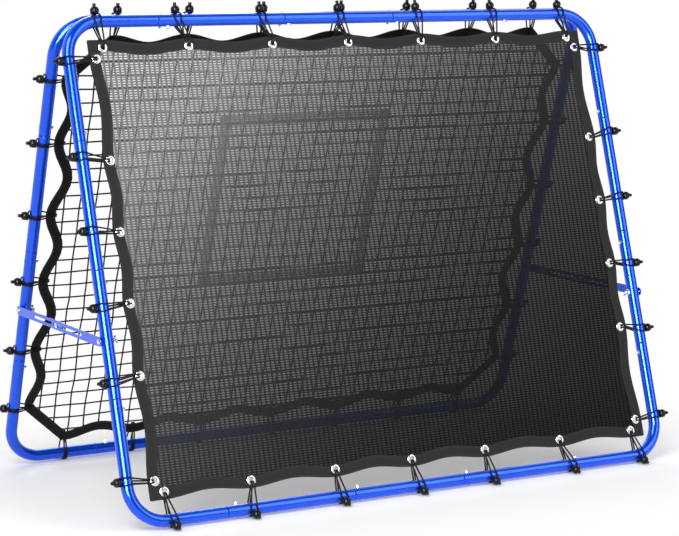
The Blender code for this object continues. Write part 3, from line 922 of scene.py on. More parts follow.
@dataclass
class Edging:
    """A closed edge that hangs between bungees: it is drawn out at each one and sags inwards between."""

    half_width: float
    height: float
    rail_places: Sequence[float]
    leg_places: Sequence[float]
    rail_inset: float
    leg_inset: float
    rail_sag: float
    leg_sag: float
    corner: float
    steps: int = 12
    full_pitch: float = 0.2

    def run(self, places: Sequence[float], sag: float) -> list[Point2]:
        """Lets one side sag between its bungees.

        Args:
            places: where the bungees are.
            sag: how far it sags between two that are a full pitch apart or more.

        Returns:
            (place, sag there) from the first bungee to the last.
        """
        line = []
        for start, end in zip(places, places[1:]):
            depth = sag * min(1.0, ((end - start) / self.full_pitch) ** 2)
            for step in range(self.steps):
                share = step / self.steps
                line.append((start + (end - start) * share, depth * math.sin(math.pi * share) ** 2))
        return [*line, (places[-1], 0.0)]

    def loop(self, inset: float = 0.0) -> list[Point2]:
        """Returns the edge, anticlockwise from its lower left, moved inwards by a further inset.

        Args:
            inset: how much further in it lies than the edge itself.

        Returns:
            The closed line's points; loops of any inset have as many.
        """
        side = self.half_width - self.leg_inset - inset
        low, high = self.rail_inset + inset, self.height - self.rail_inset - inset
        rails = self.run(self.rail_places, self.rail_sag)
        legs = self.run(self.leg_places, self.leg_sag)
        bottom = [(x, low + sag) for x, sag in rails]
        right = [(side - sag, v) for v, sag in legs]
        top = [(x, high - sag) for x, sag in reversed(rails)]
        left = [(-side + sag, v) for v, sag in reversed(legs)]
        line: list[Point2] = []
        corners = ((bottom, (side, low)), (right, (side, high)), (top, (-side, high)), (left, (-side, low)))
        for (run, corner), (following, _) in zip(corners, corners[1:] + corners[:1]):
            line += run
            line += self.rounded(run[-1], corner, following[0])
        return line

    def rounded(self, before: Point2, corner: Point2, after: Point2) -> list[Point2]:
        """Leads the edge round a corner, or straight across where it is cut off.

        Args:
            before: the last point before it.
            corner: where the two sides would meet.
            after: the first point past it.

        Returns:
            The points in between.
        """
        if not self.corner:
            return [lerp2(before, after, share) for share in (0.25, 0.5, 0.75)]
        start, end = pull(corner, before, self.corner), pull(corner, after, self.corner)
        turn = []
        for step in range(7):
            t = step / 6
            turn.append(lerp2(lerp2(start, corner, t), lerp2(corner, end, t), t))
        return turn


def lerp2(start: Point2, end: Point2, share: float) -> Point2:
    """Returns the point that lies that share of the way along."""
    return (start[0] + (end[0] - start[0]) * share, start[1] + (end[1] - start[1]) * share)


def pull(corner: Point2, other: Point2, distance: float) -> Point2:
    """Returns the point at a distance from a corner towards another point."""
    return lerp2(corner, other, distance / math.dist(corner, other))


def shrunk(line: Sequence[Point2], inwards: float) -> list[Point2]:
    """Moves a closed line inwards along its own normals.

    Args:
        line: its points, anticlockwise.
        inwards: how far it moves.

    Returns:
        The moved points.
    """
    moved = []
    for number, (x, v) in enumerate(line):
        before, after = line[number - 1], line[(number + 1) % len(line)]
        length = math.dist(before, after)
        along = ((after[0] - before[0]) / length, (after[1] - before[1]) / length)
        moved.append((x - along[1] * inwards, v + along[0] * inwards))
    return moved


def add_ribbon(
    shape: bmesh.types.BMesh,
    outer: Sequence[Point2],
    inner: Sequence[Point2],
    thickness: float,
    depth: Callable[[float, float], float],
    rows: int = 2,
    closed: bool = True,
) -> None:
    """Adds a flat ribbon between two lines, with a flat map along it and across it in metres.

    Args:
        shape: what it is added to.
        outer: one edge.
        inner: the other edge, with as many points.
        thickness: how thick it is.
        depth: how far out of the plane it lies at each (x, v).
        rows: how many faces there are across it.
        closed: whether it closes on itself.
    """
    chart = shape.loops.layers.uv.get(FLAT_MAP) or shape.loops.layers.uv.new(FLAT_MAP)
    count = len(outer) if closed else len(outer) - 1
    travelled = [0.0]
    for number in range(count):
        travelled.append(travelled[-1] + math.dist(outer[number], outer[(number + 1) % len(outer)]))
    verts = bmesh.ops.create_grid(shape, x_segments=count, y_segments=rows, size=0.5)["verts"]
    faces = list({face for vert in verts for face in vert.link_faces})
    places: dict[bmesh.types.BMVert, Point2] = {}
    for vert in verts:
        number, share = round((vert.co.x + 0.5) * count), vert.co.y + 0.5
        start, end = outer[number % len(outer)], inner[number % len(outer)]
        x, v = lerp2(start, end, share)
        places[vert] = (travelled[number], math.dist(start, end) * share)
        vert.co = (x, v, depth(x, v) - thickness / 2)
    for face in faces:
        for loop in face.loops:
            loop[chart].uv = places[loop.vert]
    if closed:
        bmesh.ops.remove_doubles(shape, verts=verts, dist=WELD)
    raised = bmesh.ops.extrude_face_region(shape, geom=faces, use_keep_orig=True)["geom"]
    lifted = [part for part in raised if isinstance(part, bmesh.types.BMVert)]
    bmesh.ops.translate(shape, vec=(0.0, 0.0, thickness), verts=lifted)


# ---- the mat -------------------------------------------------------------------------------------


@dataclass
class Mat:
    """The mesh mat on the front frame, with its taped hem and its eyelets."""

    panel: Panel
    rail_eyelets: tuple[float, ...] = (-0.673, -0.446, -0.216, 0.0, 0.216, 0.446, 0.673)
    leg_eyelets: tuple[float, ...] = (0.0935, 0.339, 0.510, 0.680, 0.851, 1.0965)
    forward: float = 0.010
    eyelet_inset: float = 0.0665
    hem_width: float = 0.028
    hem_thickness: float = 0.0022
    eyelet_to_edge: float = 0.0185
    sag: float = 0.011
    corner: float = 0.004
    mesh_inset: float = 0.0715
    hole_radius: float = 0.006
    eyelet_radius: float = 0.012

    @property
    def flat_size(self) -> Point2:
        """The open mesh's width and height."""
        return 2 * (self.panel.half_width - self.mesh_inset), self.panel.height - 2 * self.mesh_inset

    def edging(self) -> Edging:
        """Returns the mat's outer edge."""
        inset = self.eyelet_inset - self.eyelet_to_edge
        return Edging(
            self.panel.half_width, self.panel.height, self.rail_eyelets, self.leg_eyelets,
            inset, inset, self.sag, self.sag, self.corner,
        )

    def depth(self, x: float, v: float) -> float:
        """Finds how far out of the frame's plane the mat lies, with the slight ripple of stretched cloth.

        Args:
            x: the place along the rails.
            v: the place up the legs.

        Returns:
            The distance, towards the front.
        """
        ripple = noise.noise(Vector((x * 9.0, v * 9.0, 3.7))) * 0.0011
        side = self.panel.half_width - self.eyelet_inset - abs(x)
        end = self.panel.height / 2 - self.eyelet_inset - abs(v - self.panel.height / 2)
        near = math.exp(-max(0.0, min(side, end)) / 0.05)
        return self.forward + ripple * (0.35 + near)

    def eyelets(self) -> list[Point2]:
        """Returns the middles of the eyelets."""
        low, high = self.eyelet_inset, self.panel.height - self.eyelet_inset
        side = self.panel.half_width - self.eyelet_inset
        middles = [(x, v) for x in self.rail_eyelets for v in (low, high)]
        return middles + [(way * side, v) for v in self.leg_eyelets for way, _ in SIDES]

    def hem(self, maker: Maker) -> bpy.types.Object:
        """Makes the taped hem, with a hole at each eyelet.

        Args:
            maker: what makes the piece.

        Returns:
            The piece.
        """
        edging = self.edging()
        shape = bmesh.new()
        outer, inner = edging.loop(), edging.loop(self.hem_width)
        add_ribbon(shape, outer, inner, self.hem_thickness, self.depth, rows=4)
        made = maker.piece("mat_hem", shape, self.panel.body, Finish.HEM, self.panel.matrix, angle=50)
        punch = bmesh.new()
        for x, v in self.eyelets():
            bmesh.ops.create_cone(
                punch, cap_ends=True, segments=20, radius1=self.hole_radius, radius2=self.hole_radius,
                depth=0.03, matrix=Matrix.Translation((x, v, self.forward)),
            )
        bmesh.ops.transform(punch, matrix=self.panel.matrix, verts=punch.verts)
        cut_out(made, punch)
        return made

    def cloth(self, maker: Maker) -> bpy.types.Object:
        """Makes the open mesh, one surface that lies just under the hem's middle.

        Args:
            maker: what makes the piece.

        Returns:
            The piece.
        """
        width, height = self.flat_size
        shape = bmesh.new()
        bmesh.ops.create_grid(shape, x_segments=90, y_segments=72, size=0.5)
        bmesh.ops.scale(shape, vec=(width, height, 1.0), verts=shape.verts)
        bmesh.ops.translate(shape, vec=(0, self.panel.height / 2, 0), verts=shape.verts)
        chart = shape.loops.layers.uv.new(FLAT_MAP)
        for face in shape.faces:
            for loop in face.loops:
                loop[chart].uv = loop.vert.co.xy
        for vert in shape.verts:
            vert.co.z = self.depth(vert.co.x, vert.co.y)
        return maker.piece(
            "mat_mesh", shape, self.panel.body, Finish.MESH, self.panel.matrix,
            replaced=["front_mat"], open_surface=True,
        )

    def rings(self, maker: Maker) -> bpy.types.Object:
        """Makes the rolled eyelets, all as one piece.

        Args:
            maker: what makes the piece.

        Returns:
            The piece.
        """
        hole, rim = self.hole_radius, self.eyelet_radius
        half = self.hem_thickness / 2
        front = [(hole - 0.0002, 0.0), (hole, half + 0.0006), (hole + 0.0008, half + 0.0014)]
        front += [(hole + 0.0021, half + 0.0017), (hole + 0.0038, half + 0.0012)]
        front += [(rim - 0.0006, half + 0.0005), (rim, half)]
        back = [(radius, -height) for radius, height in reversed(front[1:])]
        shape = bmesh.new()
        for x, v in self.eyelets():
            place = Matrix.Translation((x, v, self.depth(x, v)))
            add_turned(shape, [*front, *back], place, 28, closed=True)
        return maker.piece("mat_eyelets", shape, self.panel.body, Finish.ZINC, self.panel.matrix)

    def build(self, maker: Maker) -> None:
        """Makes the mat.

        Args:
            maker: what makes the piece.
        """
        hem, rings = self.hem(maker), self.rings(maker)
        cloth = self.cloth(maker)
        self.flat_size
        LOG.info("mat: mesh, hem and %d eyelets", len(self.eyelets()))


def cut_out(piece: bpy.types.Object, cutter: bmesh.types.BMesh) -> None:
    """Cuts a shape out of a piece.

    Args:
        piece: what is cut.
        cutter: the shape to cut out, in the row frame; it is freed.
    """
    bmesh.ops.recalc_face_normals(cutter, faces=cutter.faces)
    mesh = bpy.data.meshes.new("cutter")
    cutter.to_mesh(mesh)
    cutter.free()
    other = bpy.data.objects.new("cutter", mesh)
    bpy.context.scene.collection.objects.link(other)
    modifier = piece.modifiers.new("cut", "BOOLEAN")
    modifier.operation, modifier.object, modifier.solver = "DIFFERENCE", other, "MANIFOLD"
    graph = bpy.context.evaluated_depsgraph_get()
    result = bpy.data.meshes.new_from_object(piece.evaluated_get(graph))
    piece.modifiers.clear()
    old, name = piece.data, piece.data.name
    piece.data = result
    bpy.data.meshes.remove(old)
    result.name = name
    bpy.data.objects.remove(other)
    bpy.data.meshes.remove(mesh)


# ---- the net -------------------------------------------------------------------------------------


@dataclass
class Net:
    """The square-mesh net on the back frame, with knots at its crossings and a webbing border."""

    panel: Panel
    rail_places: tuple[float, ...] = (-0.612, -0.414, -0.2085, 0.0, 0.2085, 0.414, 0.612)
    leg_places: tuple[float, ...] = (0.147, 0.313, 0.505, 0.685, 0.877, 1.043)
    rail_inset: float = 0.049
    leg_inset: float = 0.040
    rail_sag: float = 0.020
    leg_sag: float = 0.0365
    border_width: float = 0.025
    border_thickness: float = 0.0028
    column_pitch: float = 0.043
    row_pitch: float = 0.035
    cord_radius: float = 0.0022
    knot_radius: float = 0.0033

    def edge(self) -> list[Point2]:
        """Returns the border's centreline."""
        edging = Edging(
            self.panel.half_width, self.panel.height, self.rail_places, self.leg_places,
            self.rail_inset, self.leg_inset, self.rail_sag, self.leg_sag, 0.0,
        )
        return edging.loop()

    def depth(self, x: float, v: float) -> float:
        """Returns how far out of the frame's plane the net lies: it bellies a little."""
        return noise.noise(Vector((x * 4.0, v * 4.0, 9.1))) * 0.0022

    def border(self, maker: Maker) -> None:
        """Makes the webbing border.

        Args:
            maker: what makes the piece.
        """
        line = self.edge()
        half = self.border_width / 2
        shape = bmesh.new()
        outer, inner = shrunk(line, -half), shrunk(line, half)
        add_ribbon(shape, outer, inner, self.border_thickness, self.depth, rows=2)
        maker.piece("net_border", shape, self.panel.body, Finish.BORDER, self.panel.matrix, angle=50)

    def crossing(self, column: int, row: int) -> Vector:
        """Finds a crossing of the net, a little off the true grid.

        Args:
            column: the number of its upright cord, from the middle.
            row: the number of its level cord, from the middle.

        Returns:
            Where they cross.
        """
        x, v = column * self.column_pitch, self.panel.height / 2 + row * self.row_pitch
        drift = noise.noise_vector(Vector((column * 0.37, row * 0.41, 1.3))) * 0.0034
        jitter = noise.noise_vector(Vector((column * 7.3, row * 5.9, 4.4))) * 0.0016
        return Vector((x + drift.x + jitter.x, v + drift.y + jitter.y, self.depth(x, v)))

    def line(self, crossings: Sequence[Vector], edge: Sequence[Point2]) -> Route:
        """Routes one cord through its crossings and cuts it off at the border.

        Args:
            crossings: its crossings, from end to end.
            edge: the border's centreline.

        Returns:
            The route, or nothing where the cord lies outside.
        """
        inside = [point for point in crossings if encloses(edge, (point.x, point.y))]
        if len(inside) < 2:
            return []
        ends = []
        for first, second in ((inside[0], inside[1]), (inside[-1], inside[-2])):
            step = (first - second).normalized() * 0.001
            point = first.copy()
            while encloses(edge, (point.x, point.y)):
                point = point + step
            ends.append(point)
        return smooth_route([ends[0], *inside, ends[1]], 3)

    def cords(self, maker: Maker) -> None:
        """Makes the net's cords and its knots.

        Args:
            maker: what makes the piece.
        """
        edge = self.edge()
        across = math.ceil(self.panel.half_width / self.column_pitch)
        up = math.ceil(self.panel.height / 2 / self.row_pitch)
        columns, rows = range(-across, across + 1), range(-up, up + 1)
        shape, knots = bmesh.new(), bmesh.new()
        count = 0
        grid = {(column, row): self.crossing(column, row) for column in columns for row in rows}
        runs = [[grid[column, row] for row in rows] for column in columns]
        runs += [[grid[column, row] for column in columns] for row in rows]
        for run in runs:
            route = self.line(run, edge)
            if route:
                add_cord(shape, route, self.cord_radius, 6)
        trimmed = shrunk(edge, self.border_width * 0.4)
        for point in grid.values():
            if not encloses(trimmed, (point.x, point.y)):
                continue
            squash = Matrix.Diagonal((1.0, 1.12, 0.8, 1.0))
            bmesh.ops.create_icosphere(
                knots, subdivisions=2, radius=self.knot_radius, matrix=Matrix.Translation(point) @ squash,
            )
            count += 1
        body, place = self.panel.body, self.panel.matrix
        maker.piece("net_cords", shape, body, Finish.NET, place, replaced=["back_net"])
        maker.piece("net_knots", knots, body, Finish.KNOT, place)
        LOG.info("net: %d cords, %d knots", len(runs), count)

    def build(self, maker: Maker) -> None:
        """Makes the net and its border.

        Args:
            maker: what makes the piece.
        """
        self.border(maker)
        self.cords(maker)


def encloses(line: Sequence[Point2], place: Point2) -> bool:
    """Says whether a closed line goes round a place.

    Args:
        line: the closed line.
        place: the place.

    Returns:
        True when the place lies inside.
    """
    inside = False
    for (ax, av), (bx, bv) in zip(line, [*line[1:], line[0]]):
        if (av > place[1]) != (bv > place[1]) and place[0] < ax + (place[1] - av) / (bv - av) * (bx - ax):
            inside = not inside
    return inside


@dataclass
class StrikeZone:
    """The tan webbing rectangle sewn to the net, on the side that faces the mat."""

    panel: Panel
    left: float = -0.271
    right: float = 0.195
    low: float = 0.470
    high: float = 0.919
    width: float = 0.030
    thickness: float = 0.0016
    off_net: float = 0.0034
    steps: int = 40

    def strip(self, shape: bmesh.types.BMesh, start: Point2, end: Point2, lift: float) -> None:
        """Adds one strip of webbing, run past two corners of the rectangle by half a width.

        Args:
            shape: what it is added to.
            start: the corner it starts from.
            end: the corner it leads to.
            lift: how far it lies above the first strips.
        """
        half = self.width / 2
        length = math.dist(start, end)
        along = ((end[0] - start[0]) / length, (end[1] - start[1]) / length)
        middles = []
        for step in range(self.steps + 1):
            far = -half + (length + self.width) * step / self.steps
            middles.append((start[0] + along[0] * far, start[1] + along[1] * far))
        sides = [
            [(x - along[1] * way * half, v + along[0] * way * half) for x, v in middles]
            for way in (1, -1)
        ]

        def depth(x: float, v: float) -> float:
            """Returns how far in front of the net a place of the strip lies."""
            wave = noise.noise(Vector((x * 14.0, v * 14.0, 5.5))) * 0.0009
            return -self.off_net - lift + wave

        add_ribbon(shape, sides[0], sides[1], self.thickness, depth, rows=2, closed=False)

    def build(self, maker: Maker) -> None:
        """Makes the band from its four strips.

        Args:
            maker: what makes the piece.
        """
        shape = bmesh.new()
        low_left, low_right = (self.left, self.low), (self.right, self.low)
        high_right, high_left = (self.right, self.high), (self.left, self.high)
        self.strip(shape, low_left, low_right, 0.0)
        self.strip(shape, high_right, high_left, 0.0)
        self.strip(shape, low_right, high_right, self.thickness + 0.0004)
        self.strip(shape, high_left, low_left, self.thickness + 0.0004)
        maker.piece(
            "zone_band", shape, self.panel.body, Finish.BAND, self.panel.matrix,
            angle=50, replaced=["strike_zone_band"],
        )
        LOG.info("strike zone: four strips of webbing")


# ---- ball bungees --------------------------------------------------------------------------------


def around(angle: float, radius: float, aside: float) -> Vector:
    """Returns the point at an angle and a distance from the tube's middle, moved aside along it."""
    return Vector((radius * math.cos(angle), radius * math.sin(angle), aside))


@dataclass
class Bungee:
    """A ball bungee: a loop of cord from the ball round the tube, through the edge and back to the ball.

    Its own directions are out, away from the panel's middle; fore, out of the panel's face; and aside,
    along the tube. Angles go round the tube from out towards fore.
    """

    name: str
    panel: Panel
    tube: Point2
    eye: Point2
    eye_depth: float
    ball_angle: float
    pass_by: float
    eye_half: float
    tube_radius: float = 0.015
    cord_radius: float = 0.002
    ball_radius: float = 0.011
    ball_lift: float = 0.001
    pair: float = 0.003
    turn_step: float = 0.5

    @property
    def out(self) -> Vector:
        """The direction from the eye to the tube, square to the tube."""
        across = abs(self.tube[0]) > self.panel.half_width - 0.001
        if across:
            return Vector((math.copysign(1.0, self.tube[0]), 0.0, 0.0))
        return Vector((0.0, 1.0 if self.tube[1] > self.panel.height / 2 else -1.0, 0.0))

    @property
    def wrap(self) -> float:
        """The radius of the cord's centreline round the tube."""
        return self.tube_radius + self.cord_radius

    @property
    def level(self) -> float:
        """How far from the tube's middle the cord crosses the ball."""
        return self.wrap + self.ball_lift

    @property
    def hook(self) -> float:
        """How far aside of the ball's middle the cord lies where it hooks round it."""
        below_middle = self.tube_radius + self.ball_radius - self.level
        return math.sqrt(self.ball_radius**2 - below_middle**2) + self.cord_radius * 0.85

    def behind(self, beta: float, leave: float) -> Route:
        """Leads the cord from the ball's knot round the back of the tube.

        Args:
            beta: the ball's angle.
            leave: the angle at which the cord leaves the tube.

        Returns:
            The points, in the bungee's own directions.
        """
        line = [around(beta, self.level + 0.003, self.pair * 0.6), around(beta - 0.30, self.wrap, self.pair)]
        angle = beta - 0.75
        while angle > -leave + 0.15:
            line.append(around(angle, self.wrap, self.pair))
            angle -= self.turn_step
        return [*line, around(-leave, self.wrap, self.pair)]

    def through(self, reach: float, slant: float) -> Route:
        """Leads the cord through the eye.

        Args:
            reach: how far the eye lies from the tube.
            slant: how far aside it lies.

        Returns:
            The points, in the bungee's own directions.
        """
        away, depth, thread = self.pass_by - reach, self.eye_depth, self.eye_half
        return [
            Vector((away + 0.010, depth - 0.0034, slant + thread * 1.1)),
            Vector((away + 0.0012, depth - 0.0030, slant + thread)),
            Vector((away - 0.0008, depth, slant + thread)),
            Vector((away + 0.0012, depth + 0.0040, slant + thread)),
            Vector((away + 0.010, depth + 0.0046, slant + thread * 1.6)),
        ]

    def before(self, beta: float, leave: float) -> Route:
        """Leads the cord back over the front of the tube to the side of the ball.

        Args:
            beta: the ball's angle.
            leave: the angle at which the cord meets the tube.

        Returns:
            The points, in the bungee's own directions.
        """
        line = [around(leave, self.wrap, self.hook * 0.82)]
        angle = leave - self.turn_step
        while angle > beta + 0.62:
            line.append(around(angle, self.wrap, self.hook * 0.96))
            angle -= self.turn_step
        return [*line, around(beta + 0.42, self.wrap + 0.0006, self.hook)]

    def over_ball(self, beta: float) -> Route:
        """Leads the cord from the ball's side over its back.

        Args:
            beta: the ball's angle.

        Returns:
            The points, in the bungee's own directions; the last lies in the middle.
        """
        ahead, turn = around(beta, 1.0, 0.0), around(beta + math.pi / 2, 1.0, 0.0)
        loop = []
        for step in range(5):
            phi = math.pi / 2 * step / 4
            rise = self.level + 0.0035 * math.sin(phi)
            aside = Vector((0.0, 0.0, self.hook * math.cos(phi)))
            loop.append(ahead * rise - turn * self.hook * math.sin(phi) + aside)
        return loop

    def route(self) -> Route:
        """Returns the cord's centreline in the bungee's own directions (out, fore, aside)."""
        beta = math.radians(self.ball_angle)
        eye = Vector((self.eye[0] - self.tube[0], self.eye[1] - self.tube[1], 0.0))
        reach, slant = -eye.dot(self.out), eye.dot(self.aside)
        leave = math.pi - math.acos(self.wrap / reach)
        loop = self.over_ball(beta)
        half = [*self.behind(beta, leave), *self.through(reach, slant), *self.before(beta, leave), *loop[:-1]]
        mirrored = [Vector((point.x, point.y, 2 * self.drift(point, slant) - point.z)) for point in half]
        return smooth_route([*half, loop[-1], *reversed(mirrored)], 3)

    def drift(self, point: Vector, slant: float) -> float:
        """Returns how far aside the middle of the strands lies at a point, as they lead to the eye."""
        past_tube = point.x < -self.tube_radius * 1.6
        return slant if past_tube else 0.0

    @property
    def aside(self) -> Vector:
        """The direction along the tube."""
        return self.out.cross(Vector((0.0, 0.0, 1.0)))

    def build(self, maker: Maker) -> None:
        """Makes the cord and its ball.

        Args:
            maker: what makes the piece.
        """
        out, fore, aside = self.out, Vector((0.0, 0.0, 1.0)), self.aside
        place = Vector((self.tube[0], self.tube[1], 0.0))
        shape = bmesh.new()
        route = [place + out * point.x + fore * point.y + aside * point.z for point in self.route()]
        add_cord(shape, route, self.cord_radius, 8)
        self.add_ball(shape, place, out, fore)
        maker.piece(
            self.name, shape, self.panel.body, (Finish.ELASTIC, Finish.BALL), self.panel.matrix,
        )

    def add_ball(self, shape: bmesh.types.BMesh, place: Vector, out: Vector, fore: Vector) -> None:
        """Adds the ball, turned about the line from the tube through its knot end.

        Args:
            shape: what it is added to.
            place: the middle of the tube there.
            out: the bungee's direction out, away from the panel's middle.
            fore: the bungee's direction out of the panel's face.
        """
        beta = math.radians(self.ball_angle)
        axis = out * math.cos(beta) + fore * math.sin(beta)
        radius = self.ball_radius
        profile = [(0.0, -radius * 0.94), (radius * 0.34, -radius * 0.94)]
        start, end = math.asin(0.34), math.pi - math.asin(0.36)
        for step in range(15):
            angle = start + (end - start) * step / 14
            profile.append((radius * math.sin(angle), -radius * math.cos(angle)))
        nub, length = 0.0042, 0.0075
        base = radius * 0.93
        profile += [(nub, base + 0.0012), (nub * 1.04, base + 0.003), (nub, base + length * 0.72)]
        profile += [(nub * 0.72, base + length * 0.94), (0.0, base + length)]
        middle = place + axis * (self.tube_radius + radius)
        first = len(shape.faces)
        add_turned(shape, profile, toward(middle, axis), 22)
        shape.faces.ensure_lookup_table()
        for face in shape.faces[first:]:
            face.material_index = 1


def eyes_round(
    panel: Panel, rails: Sequence[float], legs: Sequence[float], insets: Point2,
) -> dict[str, list[Point2]]:
    """Lists where the bungees pull on an edge.

    Args:
        panel: the frame's plane.
        rails: their places along the top and the bottom rail.
        legs: their places up the legs.
        insets: how far they lie in from the rails and from the legs.

    Returns:
        The places on each side.
    """
    low, high = insets[0], panel.height - insets[0]
    side = panel.half_width - insets[1]
    return {
        "top": [(x, high) for x in rails],
        "bottom": [(x, low) for x in rails],
        "left": [(-side, v) for v in legs],
        "right": [(side, v) for v in legs],
    }


@dataclass
class BungeeSet:
    """The bungees of one frame."""

    panel: Panel
    top: Sequence[float]
    bottom: Sequence[float]
    left: Sequence[float]
    right: Sequence[float]
    eyes: dict[str, Sequence[Point2]]
    eye_depth: Callable[[float, float], float]
    pass_by: float
    eye_half: float
    bottom_angle: float
    side_angle: float = 12.0

    def build(self, maker: Maker) -> None:
        """Makes every bungee; the corner ones stand for the construction model's.

        Args:
            maker: what makes the piece.
        """
        prefix = self.panel.prefix
        leg, height = self.panel.half_width, self.panel.height
        runs = {
            "top": [(x, height) for x in self.top],
            "bottom": [(x, 0.0) for x in self.bottom],
            "left": [(-leg, v) for v in self.left],
            "right": [(leg, v) for v in self.right],
        }
        angles = {"top": 6.0, "bottom": self.bottom_angle, "left": self.side_angle, "right": self.side_angle}
        count = 0
        for level, places in runs.items():
            for number, (place, eye) in enumerate(zip(places, self.eyes[level])):
                name = f"{prefix}_{level}_bungee_{number + 1}"
                bungee = Bungee(
                    name, self.panel, place, eye, self.eye_depth(*eye), angles[level],
                    self.pass_by, self.eye_half,
                )
                bungee.build(maker)
                count += 1
        ends = {"left": 1, "right": len(self.top)}
        for level in ("top", "bottom"):
            for side, number in ends.items():
                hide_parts(f"{prefix}_bungee_{level}_{side}")
        LOG.info("%s frame: %d bungees", prefix, count)


# ---- hinges --------------------------------------------------------------------------------------


@dataclass
class HingeLeaves:
    """The hinge halves, their leaves ended level with the underside of the rails that they are fixed to."""

    underside: float = 1.1395

    def build(self, maker: Maker, nodes: dict[str, bpy.types.Object], bodies: dict[str, str]) -> None:
        """Makes each half in place of its construction solid.

        Args:
            maker: what makes the pieces.
            nodes: the construction solids by name.
            bodies: the body that each node belongs to.
        """
        for node in [name for name in nodes if name.startswith("hinge")]:
            shape = bmesh.new()
            shape.from_mesh(nodes[node].data)
            bmesh.ops.transform(shape, matrix=nodes[node].matrix_world, verts=shape.verts)
            bmesh.ops.remove_doubles(shape, verts=shape.verts, dist=WELD)
            halved = bmesh.ops.bisect_plane(
                shape, geom=[*shape.verts, *shape.edges, *shape.faces], clear_inner=True,
                plane_co=(0.0, 0.0, self.underside), plane_no=(0.0, 0.0, 1.0),
            )
            rim = [part for part in halved["geom_cut"] if isinstance(part, bmesh.types.BMEdge)]
            bmesh.ops.holes_fill(shape, edges=rim, sides=0)
            maker.piece(f"{node}_leaf", shape, bodies[node], Finish.PAINT, replaced=[node])


# ---- braces --------------------------------------------------------------------------------------


